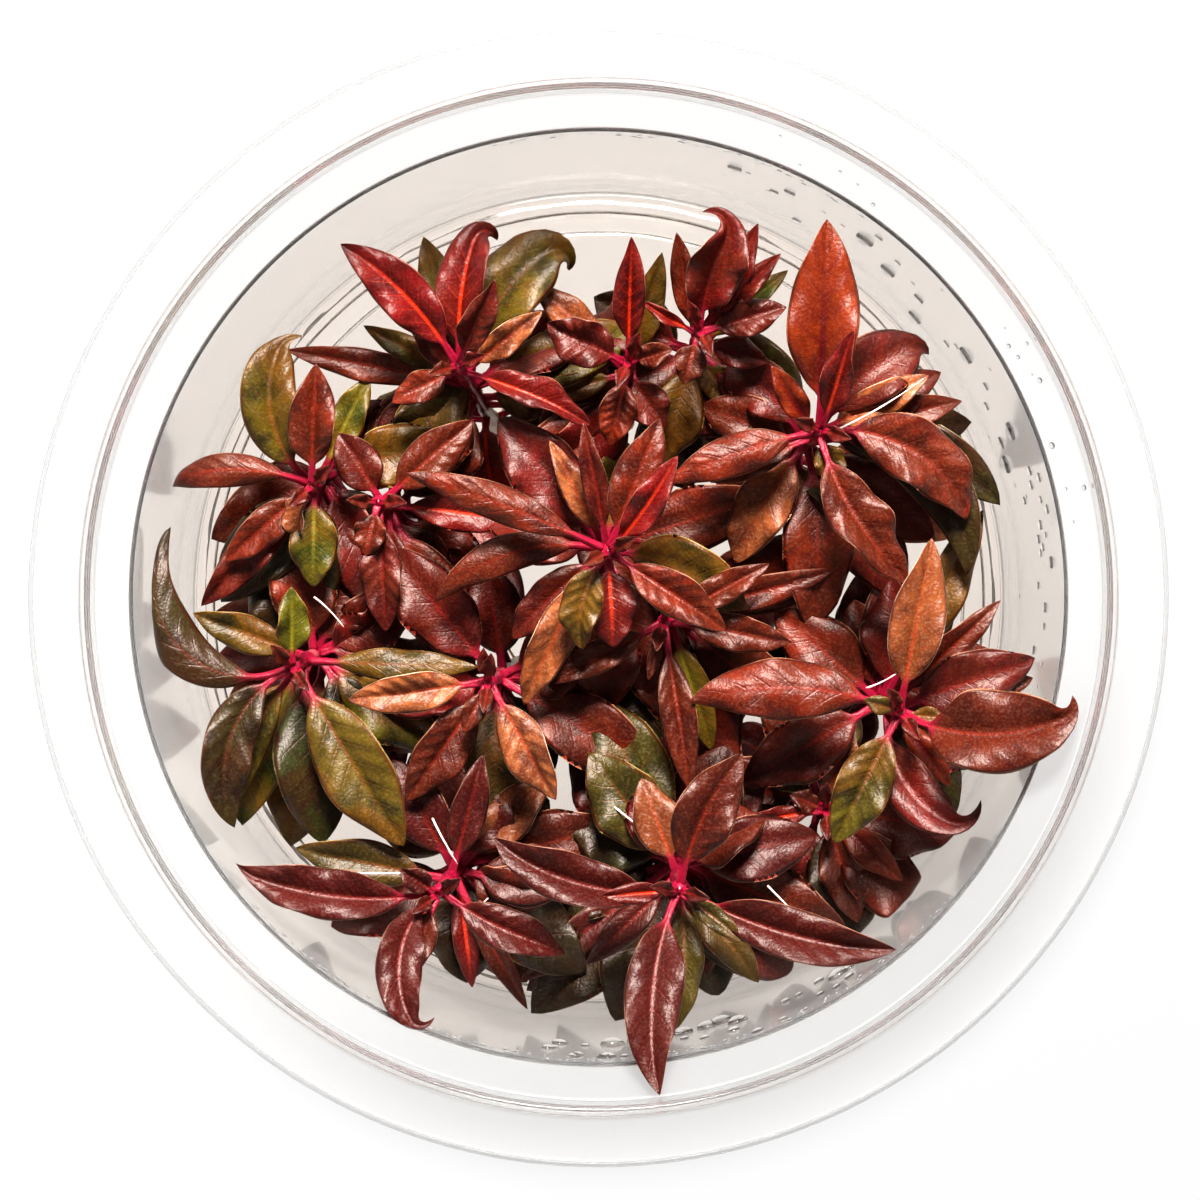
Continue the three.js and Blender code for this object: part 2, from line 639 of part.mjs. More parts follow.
// What is left of a leaf where it keeps clear of its neighbours and the cup: its largest piece
function keepClear(leaf, room, cutters) {
  let kept = leaf.intersect(room);
  for (const cutter of cutters) {
    if (boxesMeet(kept.boundingBox(), cutter.boundingBox())) {
      kept = kept.subtract(cutter);
    }
  }
  const pieces = kept.decompose();
  return pieces.reduce((largest, piece) => (piece.volume() > largest.volume() ? piece : largest));
}

// Builds the whole plant: the main leaves first, then the stems with the leaves that are one with them
function growPlant(room) {
  const meshes = [];
  const stems = SHOOTS.map((shoot) => makeStem(shoot, 0));
  const stemCutters = SHOOTS.map((shoot) => makeStem(shoot, GAP));
  const mainCutters = [];
  SHOOTS.forEach((shoot) => {
    const main = readLeaves(shoot).filter((leaf) => leaf.kind === MAIN);
    main.forEach((leaf, index) => {
      const [start, target] = leafEnds(shoot, leaf, MAIN_START);
      const whole = makeLeaf(leaf, start, target, MAIN_STATIONS, 0);
      const solid = keepClear(whole, room, [...stemCutters, ...mainCutters]);
      mainCutters.push(makeLeaf(leaf, start, target, MAIN_STATIONS, GAP));
      const material = new THREE.MeshStandardMaterial({
        color: TONES[leaf.tone],
        roughness: 0.5,
        metalness: 0,
      });
      meshes.push(toMesh(`leaf_${shoot.name}_${index + 1}`, solid, material));
    });
  });
  const sideCutters = SHOOTS.map(() => []);
  SHOOTS.forEach((shoot, shootIndex) => {
    const others = (list) => list.filter((_, index) => index !== shootIndex);
    const cutters = [...mainCutters, ...others(stemCutters), ...others(sideCutters).flat()];
    let stem = stems[shootIndex];
    const grow = (leaf, stations) => {
      const [start, target] = leafEnds(shoot, leaf, SIDE_START);
      stem = stem.add(keepClear(makeLeaf(leaf, start, target, stations, 0), room, cutters));
      sideCutters[shootIndex].push(makeLeaf(leaf, start, target, stations, GAP));
    };
    readLeaves(shoot).filter((leaf) => leaf.kind === SIDE).forEach((leaf) => grow(leaf, SIDE_STATIONS));
    lowerLeaves(shoot, shootIndex).forEach((leaf) => grow(leaf, LOWER_STATIONS));
    youngLeaves(shootIndex).forEach((leaf) => grow(leaf, YOUNG_STATIONS));
    meshes.push(toMesh(`stem_${shoot.name}`, stem, stemMaterial));
  });
  return { meshes, stemCutters };
}

const plant = new THREE.Group();
const { meshes, stemCutters } = growPlant(makeRoom());
plant.add(toMesh('cup', makeCup(), cupPlastic));
plant.add(toMesh('jelly', makeJelly(stemCutters), jellyMaterial));
plant.add(...meshes);

export default plant;
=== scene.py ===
"""Looks of a mini Alternanthera reineckii that fills its open, clear culture cup.

Everything is in metres, +Z up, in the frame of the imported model: the origin is the middle of the cup's foot.
The shoots and the rules that place a leaf are the same as in the part's source, so every fine leaf of SHOOTS
lies where its plain solid lies. The leaves of SHADED and of Plant.shaded fill the shade and are only here.
"""

import logging
import math
import random
from dataclasses import dataclass
from enum import Enum
from typing import Union

import bpy
import numpy as np
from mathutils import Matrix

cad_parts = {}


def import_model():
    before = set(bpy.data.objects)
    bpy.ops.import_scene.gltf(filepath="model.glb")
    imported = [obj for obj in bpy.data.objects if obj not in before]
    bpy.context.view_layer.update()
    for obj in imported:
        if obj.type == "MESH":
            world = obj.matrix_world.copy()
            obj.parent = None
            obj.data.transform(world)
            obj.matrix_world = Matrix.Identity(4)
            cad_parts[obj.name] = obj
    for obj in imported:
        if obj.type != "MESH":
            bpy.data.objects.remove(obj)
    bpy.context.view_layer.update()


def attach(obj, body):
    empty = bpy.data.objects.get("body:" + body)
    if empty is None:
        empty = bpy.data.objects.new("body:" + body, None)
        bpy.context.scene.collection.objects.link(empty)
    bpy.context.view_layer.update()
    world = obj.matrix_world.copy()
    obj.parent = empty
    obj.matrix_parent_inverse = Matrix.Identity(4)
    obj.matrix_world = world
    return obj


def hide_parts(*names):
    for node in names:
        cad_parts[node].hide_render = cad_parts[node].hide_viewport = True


LOG = logging.getLogger("culture_cup")
MM = 0.001
BODY = "root"


class Kind(Enum):
    """How a leaf is kept: as a piece of its own, or as one with its stem."""

    MAIN = "main"
    SIDE = "side"


class Tone(Enum):
    """The leaf colours of the plant, named as the record's material slots are."""

    RUBY = "ruby"
    WINE = "wine"
    BRONZE = "bronze"
    COPPER = "copper"
    EMBER = "ember"
    OLIVE = "olive"
    MOSS = "moss"
    GREEN = "green"


MAIN, SIDE = Kind.MAIN, Kind.SIDE
RUBY, WINE, BRONZE, COPPER = Tone.RUBY, Tone.WINE, Tone.BRONZE, Tone.COPPER
EMBER, OLIVE, MOSS, GREEN = Tone.EMBER, Tone.OLIVE, Tone.MOSS, Tone.GREEN


@dataclass(frozen=True)
class Leaf:
    """One leaf. Lengths are in millimetres and angles in degrees.

    bearing and reach say where its tip is in plan, seen from the crown. drop is how far below the crown it
    grows. lift is its slope at the stalk, droop what it loses of that slope, swing how far it turns
    sideways, roll its turn about its own line, and fold the rise of its halves from the midrib. curl is the
    share of the length that hooks at the tip, turn and dip how far that part turns to the left and down.
    """

    kind: Kind
    tone: Tone
    bearing: float
    reach: float
    width: float
    drop: float
    lift: float
    droop: float
    swing: float
    roll: float
    fold: float
    curl: float = 0.0
    turn: float = 0.0
    dip: float = 0.0


@dataclass(frozen=True)
class Shoot:
    """A stem's foot in plan, its crown, and its leaves, in millimetres."""

    name: str
    foot: tuple
    crown: tuple
    leaves: tuple


SHOOTS = (
    Shoot("northwest", (-10.5, 17.5), (-14, 23, 40), (
        Leaf(MAIN, RUBY, 134, 16.5, 5.5, 1, 30, 30, 28, -10, 14),
        Leaf(MAIN, RUBY, 79, 16.5, 5.5, 2, 35, 60, -30, -12, 16, 0.27, -140, 40),
        Leaf(MAIN, WINE, 65, 9, 4, 0, 50, 25, 0, 15, 22),
        Leaf(SIDE, WINE, 135, 7, 4, 4, 25, 25, 0, 0, 20),
        Leaf(SIDE, BRONZE, 209, 7.5, 3.5, 1, 15, 25, 0, 10, 12),
        Leaf(MAIN, RUBY, 336, 14.5, 4.5, 2, 25, 40, -12, -20, 26),
        Leaf(SIDE, COPPER, 33, 10, 3.5, 3, 25, 25, 0, 15, 20),
        Leaf(SIDE, OLIVE, 105, 13.5, 5, 7, 30, 30, 0, 10, 10),
        Leaf(SIDE, BRONZE, 174, 17.5, 3.5, 8, 25, 35, 0, 0, 10),
        Leaf(SIDE, OLIVE, 156, 10.5, 3, 7, 20, 20, 0, 0, 10),
        Leaf(SIDE, OLIVE, 46, 18.8, 8, 8, 42, 70, -65, -15, 12, 0.27, -130, 40),
    )),
    Shoot("north", (3, 18.5), (3, 23.5, 38), (
        Leaf(MAIN, RUBY, 89, 12, 4, 0, 35, 10, 0, 0, 24),
        Leaf(MAIN, WINE, 155, 9, 5.5, 1, 30, 45, 0, -10, 16),
        Leaf(SIDE, OLIVE, 199, 10, 3, 5, 10, 20, 0, 0, 10),
        Leaf(SIDE, BRONZE, 14, 4.5, 3, 0, 40, 30, 0, 0, 20),
        Leaf(MAIN, BRONZE, 257, 8.5, 4, 2, 10, 35, 0, 0, 8),
        Leaf(SIDE, WINE, 299, 7.5, 4.5, 3, 15, 35, 10, 0, 12),
        Leaf(SIDE, COPPER, 140, 13, 4, 5, 25, 35, 0, 10, 10),
        Leaf(SIDE, OLIVE, 73, 11.5, 3.5, 7, 35, 20, 0, 0, 10),
        Leaf(SIDE, COPPER, 173, 11.5, 4, 8, 15, 25, 0, 0, 10),
    )),
    Shoot("north_northeast", (9.5, 21.5), (10, 26.5, 40), (
        Leaf(MAIN, WINE, 70, 13.5, 7.5, 1, 40, 35, -25, 18, 28, 0.34, 125, 0),
        Leaf(SIDE, RUBY, 61, 12, 3.5, 2.5, 35, 30, 10, 0, 20),
        Leaf(MAIN, WINE, 43, 11, 3, 2, 30, 20, 0, 0, 16),
        Leaf(MAIN, WINE, 15, 9, 4, 1, 15, 20, 0, -8, 12),
        Leaf(SIDE, RUBY, 153, 6.5, 2, 2, 20, 15, 0, 0, 30),
        Leaf(SIDE, BRONZE, 254, 5.5, 3.5, 1, 15, 30, 0, 0, 10),
        Leaf(SIDE, BRONZE, 103, 10, 3, 6, 40, 20, 0, 0, 10),
        Leaf(SIDE, WINE, 337, 7.5, 3.5, 4, 10, 30, 0, 0, 12),
        Leaf(SIDE, GREEN, 35, 11, 3, 8, 30, 30, 0, 0, 10),
        Leaf(SIDE, OLIVE, 295, 8, 3.5, 9, 10, 20, 0, 0, 8),
    )),
    Shoot("northeast", (18.5, 13.5), (22, 16.5, 43), (
        Leaf(MAIN, EMBER, 89, 20.5, 7.5, 1, 28, 26, 0, 0, 12),
        Leaf(SIDE, RUBY, 73, 10, 4, 0, 45, 20, 0, -10, 24),
        Leaf(SIDE, EMBER, 128, 8, 3, 3, 35, 20, 0, 0, 12),
        Leaf(SIDE, WINE, 26, 13.5, 5, 5, 25, 45, 0, 0, 12),
        Leaf(SIDE, COPPER, 27, 12, 4, 3, 22, 25, 0, 0, 14),
        Leaf(SIDE, BRONZE, 12, 14.5, 4, 4, 15, 30, 0, 0, 10),
        Leaf(MAIN, RUBY, 329, 17, 7, 1, 20, 50, -75, -10, 10),
        Leaf(MAIN, BRONZE, 300, 17.5, 6.5, 1, 20, 45, 35, -14, 18),
        Leaf(SIDE, BRONZE, 205, 12, 3, 4, 10, 20, 0, 0, 14),
        Leaf(SIDE, OLIVE, 288, 5.5, 3.5, 2, 10, 20, 0, 0, 10),
        Leaf(SIDE, COPPER, 238, 15.5, 6, 7, 15, 40, 20, 0, 8),
        Leaf(MAIN, BRONZE, 199, 16, 4.5, 1, 22, 35, 15, 10, -12),
        Leaf(SIDE, MOSS, 316, 20.5, 6, 8, 30, 45, -105, 0, 10),
    )),
    Shoot("centre", (0, 5.5), (1, 4.5, 44), (
        Leaf(MAIN, BRONZE, 69, 14, 5, 1, 28, 35, 0, 10, 10),
        Leaf(SIDE, RUBY, 54, 11.5, 4, 0, 40, 35, 15, 0, 20),
        Leaf(MAIN, BRONZE, 159, 21.5, 4, 1, 22, 36, 10, 0, -14),
        Leaf(MAIN, BRONZE, 326, 14, 5, 1, 20, 40, 0, 0, 20),
        Leaf(MAIN, OLIVE, 255, 10, 4.5, 1, 20, 50, 50, 12, 12),
        Leaf(SIDE, RUBY, 273, 9.5, 5.5, 3, 15, 35, 0, 0, 8),
        Leaf(SIDE, BRONZE, 196, 18, 4, 5, 25, 50, 60, 0, -10),
        Leaf(SIDE, COPPER, 241, 17.5, 4.5, 4, 10, 45, 15, 0, 10),
        Leaf(SIDE, WINE, 222, 13, 4.5, 6, 15, 45, 10, 0, 10),
        Leaf(SIDE, COPPER, 118, 12.5, 3, 6, 20, 20, 0, 0, 12),
        Leaf(SIDE, WINE, 101, 13, 3, 4, 30, 25, 0, 0, 20),
    )),
    Shoot("inner_east", (9.5, -1.5), (6.5, -2.5, 38), (
        Leaf(MAIN, BRONZE, 279, 17, 4, 0, 15, 30, 0, 10, 16),
        Leaf(MAIN, BRONZE, 208, 13, 3.5, 1, 15, 25, 0, 0, 12),
        Leaf(MAIN, BRONZE, 29, 12, 3.5, 1, 20, 20, 0, 0, 16),
        Leaf(SIDE, BRONZE, 255, 6, 1.5, 0, 15, 20, 0, 0, 10),
        Leaf(SIDE, BRONZE, 351, 13, 4, 3, 15, 25, 0, 0, 10),
        Leaf(SIDE, GREEN, 291, 14, 4, 6, 0, 25, 0, 0, 8),
        Leaf(SIDE, BRONZE, 17, 18, 3.5, 5, 20, 25, 0, 0, 12),
    )),
    Shoot("east", (25.5, -9), (30, -11.5, 42), (
        Leaf(MAIN, COPPER, 81, 17.5, 6, 1, 30, 30, 0, 0, 16),
        Leaf(MAIN, WINE, 3, 17.5, 9.2, 0, 42, 30, 60, -10, 16, 0.15, 70, 10),
        Leaf(MAIN, OLIVE, 243, 14.5, 6, 1, 12, 30, 0, 10, 14),
        Leaf(MAIN, BRONZE, 177, 21, 6.5, 2, 20, 35, 40, 0, -12),
        Leaf(SIDE, OLIVE, 353, 4.5, 2, 0, 28, 20, 0, 0, 10),
        Leaf(SIDE, OLIVE, 159, 4, 2, 0, 30, 20, 0, 0, 10),
        Leaf(SIDE, BRONZE, 14, 14, 4, 5, 25, 35, 0, 0, 10),
        Leaf(SIDE, BRONZE, 48, 15, 3.5, 6, 25, 30, 0, 0, 14),
        Leaf(SIDE, EMBER, 305, 9, 3, 4, 5, 20, 0, 0, 10),
        Leaf(SIDE, WINE, 307, 15, 5.5, 6, 32, 20, 95, 0, 14, 0.3, 85, -10),
        Leaf(SIDE, OLIVE, 67, 22, 5, 9, 20, 30, 0, 0, 8),
    )),
    Shoot("south", (7.5, -23.5), (8, -29, 43), (
        Leaf(MAIN, BRONZE, 66, 15, 6.5, 1, 28, 25, -25, 10, 14),
        Leaf(MAIN, WINE, 164, 19, 6.5, 1, 20, 30, -50, 12, 24),
        Leaf(MAIN, WINE, 345, 22, 6.5, 1, 20, 25, 28, -12, 24),
        Leaf(MAIN, WINE, 264, 19.5, 6.5, 1, 34, 18, 38, 0, 18),
        Leaf(SIDE, OLIVE, 269, 14, 4, 5, 20, 30, -20, 0, 8),
        Leaf(SIDE, OLIVE, 322, 8, 2.5, 0, 25, 20, 0, 0, 14),
        Leaf(SIDE, RUBY, 183, 8, 2.5, 0, 25, 20, 0, 0, 20),
        Leaf(SIDE, OLIVE, 310, 12.5, 4, 6, 10, 25, 0, 0, 8),
        Leaf(SIDE, COPPER, 109, 11.5, 5, 6, 15, 25, 0, 0, 8),
        Leaf(SIDE, OLIVE, 124, 16, 7.5, 9, 10, 20, 0, 0, 6),
        Leaf(SIDE, WINE, 220, 12, 3.5, 6, 10, 25, 0, 0, 10),
        Leaf(SIDE, WINE, 212, 19, 4, 12, 5, 15, 0, 0, 8),
    )),
    Shoot("south_southwest", (-10.5, -23), (-16, -29.5, 41), (
        Leaf(MAIN, WINE, 172, 20.5, 6, 1, 22, 30, -36, 8, 20),
        Leaf(MAIN, WINE, 267, 14, 5, 1, 46, 40, 100, 0, 14, 0.18, 95, 20),
        Leaf(SIDE, BRONZE, 250, 9, 3.5, 0, 15, 25, 0, 0, 12),
        Leaf(MAIN, WINE, 335, 14, 5, 1, 18, 35, 15, -12, 18),
        Leaf(SIDE, OLIVE, 163, 15, 5, 5, 12, 25, 0, 0, 10),
        Leaf(SIDE, WINE, 72, 14.5, 4, 6, 25, 25, 0, 0, 14),
        Leaf(SIDE, WINE, 143, 4.5, 3, 0, 35, 20, 0, 0, 20),
        Leaf(SIDE, BRONZE, 306, 15, 2.5, 7, 5, 25, 0, 0, 10),
        Leaf(SIDE, RUBY, 288, 10.5, 3, 9, 5, 15, 0, 0, 10),
        Leaf(SIDE, COPPER, 46, 16, 5, 9, 15, 20, 0, 0, 8),
    )),
    Shoot("inner_southwest", (-8.5, -7), (-11, -8.5, 40), (
        Leaf(MAIN, COPPER, 187, 14, 4.5, 1, 15, 25, 0, 0, 14),
        Leaf(MAIN, COPPER, 300, 13.5, 5, 1, 12, 25, 0, 10, 10),
        Leaf(SIDE, BRONZE, 244, 5.5, 2.5, 0, 20, 30, 0, 0, 12),
        Leaf(SIDE, WINE, 96, 3.5, 2, 0, 50, 20, 0, 0, 20),
        Leaf(MAIN, BRONZE, 235, 14.5, 5.5, 3, 10, 25, 0, -8, 10),
    )),
    Shoot("west_southwest", (-24.5, -3), (-30.5, -7, 40), (
        Leaf(MAIN, MOSS, 131, 18.5, 5.5, 1, 22, 45, -150, 0, -16),
        Leaf(SIDE, GREEN, 89, 8, 4, 0, 30, 20, 0, 15, 16),
        Leaf(MAIN, MOSS, 250, 17, 5.5, 1, 15, 35, 85, 0, 12),
        Leaf(SIDE, OLIVE, 245, 16, 4, 3, 5, 25, 25, 0, 10),
        Leaf(MAIN, OLIVE, 302, 21, 7.5, 1, 15, 30, 0, 0, 8),
        Leaf(SIDE, GREEN, 251, 17, 7, 7, 5, 20, 30, 0, 8),
        Leaf(SIDE, OLIVE, 360, 18.5, 3.5, 4, 15, 20, 0, 0, -10),
        Leaf(SIDE, OLIVE, 152, 11.5, 4, 6, 20, 25, 0, 0, 10),
    )),
    Shoot("inner_west", (-19.5, 8.5), (-22, 9.5, 38), (
        Leaf(SIDE, BRONZE, 257, 5.5, 3.5, 0, 15, 30, 0, 0, 12),
        Leaf(MAIN, WINE, 273, 13, 4.5, 1, 10, 30, 0, 10, 12),
        Leaf(SIDE, WINE, 120, 8, 5, 3, 25, 35, 0, 0, 14),
        Leaf(MAIN, BRONZE, 41, 12.5, 5, 2, 22, 35, 0, 0, 12),
        Leaf(SIDE, RUBY, 353, 14.5, 4, 4, 10, 20, 0, 0, 10),
        Leaf(SIDE, WINE, 283, 12, 3, 5, 5, 20, 0, 0, 10),
    )),
    Shoot("west_northwest", (-27, 14.5), (-28.5, 11, 40), (
        Leaf(MAIN, BRONZE, 87, 12, 5.5, 0, 32, 25, 0, -8, 18),
        Leaf(MAIN, OLIVE, 96, 16, 6, 2, 35, 50, -90, 0, 12, 0.18, -50, -10),
        Leaf(MAIN, BRONZE, 179, 15, 3.8, 1, 32, 85, 45, 0, -16),
        Leaf(SIDE, BRONZE, 220, 11.5, 4, 2, 10, 30, 0, 0, 12),
        Leaf(SIDE, COPPER, 256, 5, 4, 1, 20, 60, 40, 40, 30),
        Leaf(SIDE, GREEN, 270, 10, 5, 2, 8, 30, 0, 0, 8),
        Leaf(SIDE, WINE, 226, 16.5, 4.5, 5, 12, 30, 0, 0, 14),
        Leaf(SIDE, GREEN, 64, 12.5, 4, 7, 20, 20, 0, 0, 12),
    )),
    Shoot("southeast", (20.5, -18), (23, -21.5, 31), (
        Leaf(SIDE, BRONZE, 286, 12, 5, 1, 10, 25, 0, 0, 12),
        Leaf(SIDE, EMBER, 317, 10.5, 3.5, 0, 20, 25, 0, 0, 12),
        Leaf(SIDE, MOSS, 311, 12, 5, 5, 5, 15, 0, 0, 8),
        Leaf(SIDE, RUBY, 189, 9, 2.5, 0, 20, 20, 0, 0, 14),
        Leaf(SIDE, BRONZE, 157, 4, 2.5, 0, 35, 20, 0, 0, 14),
        Leaf(SIDE, GREEN, 134, 9, 4.5, 4, 5, 15, 0, 0, 8),
        Leaf(SIDE, COPPER, 73, 8.5, 5, 2, 25, 25, 0, 0, 12),
    )),
)


def low_leaf(tone: Tone, bearing: float, reach: float, width: float, drop: float, lift: float, droop: float,
             swing: float = 0, roll: float = 0, fold: float = 8, *hook: float) -> Leaf:
    """A leaf that is one with its stem, mostly flat, as the leaves in the shade are."""
    return Leaf(SIDE, tone, bearing, reach, width, drop, lift, droop, swing, roll, fold, *hook)


# The leaves that fill the gaps between the shoots, lower than the rest, by the name of their shoot
SHADED = {
    "northwest": (
        low_leaf(OLIVE, 12, 19, 6.5, 9, 20, 35),
    ),
    "north": (
        low_leaf(BRONZE, 234, 20, 7, 9, 15, 35, 20),
        low_leaf(WINE, 330, 13, 6, 8, 15, 35),
    ),
    "north_northeast": (
        low_leaf(WINE, 318, 16, 6.5, 9, 12, 30),
    ),
    "northeast": (
        low_leaf(BRONZE, 350, 19, 7, 26, 20, 35),
        low_leaf(COPPER, 325, 18, 7, 27, 20, 35),
        low_leaf(MOSS, 4, 15.5, 7, 9, 20, 35),
        low_leaf(WINE, 298, 19, 7.5, 11, 20, 40),
        low_leaf(WINE, 39, 14.5, 7.5, 3, 22, 50, -40, -14, 16, 0.2, -70, 20),
        low_leaf(MOSS, 338, 19.5, 6.5, 7, 25, 40, -60, 0, 10),
        low_leaf(BRONZE, 268, 20, 7.5, 9, 15, 35, -20),
        low_leaf(WINE, 318, 16, 7, 10, 20, 35),
    ),
    "centre": (
        low_leaf(WINE, 268, 17, 8, 12, 16, 35),
        low_leaf(BRONZE, 294, 21, 8, 15, 15, 35),
        low_leaf(WINE, 241, 12, 7, 16, 15, 35),
        low_leaf(WINE, 129, 17.5, 7.5, 9, 22, 35),
        low_leaf(BRONZE, 20, 17, 7, 10, 20, 35),
        low_leaf(WINE, 285, 15, 7, 12, 15, 35),
    ),
    "inner_east": (
        low_leaf(WINE, 290, 19, 8, 12, 14, 35),
        low_leaf(MOSS, 310, 13, 8, 13, 14, 35),
        low_leaf(MOSS, 260, 20, 8, 9, 10, 30),
        low_leaf(WINE, 24, 21, 7.5, 7, 18, 32),
        low_leaf(BRONZE, 325, 17, 7, 9, 15, 30),
    ),
    "east": (
        low_leaf(BRONZE, 355, 10, 7, 26, 20, 35),
        low_leaf(COPPER, 30, 11, 7, 25, 20, 35),
        low_leaf(WINE, 60, 14, 7, 24, 20, 35),
        low_leaf(MOSS, 300, 12, 7.5, 10, 20, 32),
        low_leaf(BRONZE, 352, 13, 8, 8, 24, 35),
        low_leaf(WINE, 335, 11.5, 7.5, 9, 22, 35),
        low_leaf(BRONZE, 31, 11.5, 7.5, 10, 22, 35),
        low_leaf(WINE, 5, 11, 7, 12, 20, 30),
        low_leaf(WINE, 22, 14.5, 6.5, 4, 25, 35, 0, 0, 12),
        low_leaf(BRONZE, 140, 16, 7, 10, 20, 35),
        low_leaf(WINE, 205, 17, 7, 10, 12, 30),
    ),
    "south": (
        low_leaf(WINE, 216, 19, 7.5, 16, 8, 20, -20),
        low_leaf(MOSS, 290, 13, 8, 19, 14, 30),
        low_leaf(WINE, 318, 16, 8, 17, 14, 30),
        low_leaf(WINE, 262, 12, 8, 17, 14, 30),
        low_leaf(WINE, 130, 17, 8, 15, 18, 35),
        low_leaf(BRONZE, 70, 15, 8, 12, 18, 35),
        low_leaf(WINE, 100, 16, 8, 14, 18, 35),
        low_leaf(MOSS, 222, 20, 8.5, 14, 14, 30),
        low_leaf(MOSS, 246, 15.5, 8.5, 13, 14, 30),
        low_leaf(WINE, 227, 17.5, 6, 22, 12, 30),
        low_leaf(WINE, 254, 13, 7, 20, 10, 30),
        low_leaf(WINE, 283, 11, 7, 18, 10, 25),
        low_leaf(MOSS, 309, 13, 7, 17, 10, 25),
        low_leaf(WINE, 333, 16.5, 7, 15, 10, 25),
        low_leaf(BRONZE, 344, 18, 7.5, 14, 15, 25),
        low_leaf(MOSS, 235, 12, 7, 16, 12, 30),
        low_leaf(OLIVE, 113, 21, 8, 11, 15, 30, 0, 0, 6),
        low_leaf(WINE, 20, 15, 7, 10, 15, 30),
        low_leaf(MOSS, 150, 13, 6.5, 12, 15, 30),
        low_leaf(MOSS, 192, 16, 6, 13, 10, 30),
    ),
    "south_southwest": (
        low_leaf(WINE, 312, 13, 8.5, 12, 16, 32),
        low_leaf(MOSS, 330, 17, 8, 10, 16, 32),
        low_leaf(MOSS, 285, 10, 8.5, 12, 18, 32),
        low_leaf(WINE, 200, 12, 7.5, 12, 18, 32),
        low_leaf(WINE, 303, 10, 6.5, 20, 12, 30),
        low_leaf(MOSS, 333, 12, 7, 18, 12, 30),
        low_leaf(BRONZE, 20, 19, 7, 10, 12, 30),
        low_leaf(WINE, 60, 13, 6.5, 9, 20, 35),
        low_leaf(WINE, 110, 14, 6, 8, 20, 35),
    ),
    "inner_southwest": (
        low_leaf(BRONZE, 205, 15, 8, 11, 16, 35),
        low_leaf(WINE, 240, 17, 8, 13, 16, 35),
        low_leaf(MOSS, 294, 12.5, 7.5, 13, 15, 35),
        low_leaf(WINE, 265, 12, 7, 14, 15, 35),
        low_leaf(BRONZE, 331, 20, 7.5, 8, 15, 32),
        low_leaf(WINE, 127, 17, 7.5, 7, 22, 38, 0, 0, 10),
        low_leaf(OLIVE, 272, 16, 6.5, 8, 15, 30),
        low_leaf(WINE, 25, 14, 6.5, 8, 20, 30),
    ),
    "west_southwest": (
        low_leaf(BRONZE, 150, 11, 6, 26, 20, 35),
        low_leaf(WINE, 180, 10, 6, 25, 20, 35),
        low_leaf(BRONZE, 215, 11, 7, 26, 20, 35),
        low_leaf(WINE, 315, 15, 7.5, 13, 18, 35),
        low_leaf(BRONZE, 95, 13, 7, 8, 22, 35, 20),
        low_leaf(WINE, 60, 11, 7, 9, 20, 35),
        low_leaf(MOSS, 112, 12, 7, 10, 22, 35),
        low_leaf(OLIVE, 267, 18.5, 8.5, 13, 15, 35),
        low_leaf(BRONZE, 240, 13, 6, 11, 20, 35),
        low_leaf(MOSS, 279, 18, 8.5, 4, 12, 30, 0, 0, 10),
        low_leaf(OLIVE, 330, 17, 7, 9, 15, 32),
        low_leaf(WINE, 30, 14, 6.5, 9, 22, 35),
    ),
    "inner_west": (
        low_leaf(WINE, 75, 13, 8, 10, 20, 35),
        low_leaf(MOSS, 300, 13, 8, 12, 14, 35),
        low_leaf(BRONZE, 297, 20, 7.5, 7, 12, 30),
        low_leaf(WINE, 320, 15, 7, 10, 15, 30),
        low_leaf(OLIVE, 60, 17, 7, 8, 22, 35),
    ),
    "west_northwest": (
        low_leaf(BRONZE, 190, 10, 6, 26, 20, 35),
        low_leaf(MOSS, 230, 15, 7.5, 9, 20, 35),
        low_leaf(WINE, 243, 12.7, 7, 11, 20, 35),
        low_leaf(BRONZE, 205, 12, 6.5, 12, 20, 35),
        low_leaf(WINE, 300, 16, 7, 9, 15, 32),
        low_leaf(OLIVE, 20, 15, 6.5, 8, 22, 35),
    ),
    "southeast": (
        low_leaf(MOSS, 303, 12.5, 7, 5, 10, 25),
        low_leaf(WINE, 350, 14, 7.5, 2, 20, 30),
        low_leaf(WINE, 250, 14, 7, 3, 10, 30),
        low_leaf(MOSS, 283, 15, 7.5, 3, 12, 30),
        low_leaf(BRONZE, 310, 16.5, 7, 2, 18, 30),
        low_leaf(WINE, 30, 14, 6.5, 4, 18, 32),
        low_leaf(BRONZE, 110, 16, 6.5, 3, 22, 32),
        low_leaf(WINE, 205, 15, 6.5, 5, 12, 32),
    ),
}

# Leaves that look browner than the other leaves of their slot, by shoot and bearing
BROWNER = {("northeast", 329): BRONZE, ("east", 3): BRONZE}

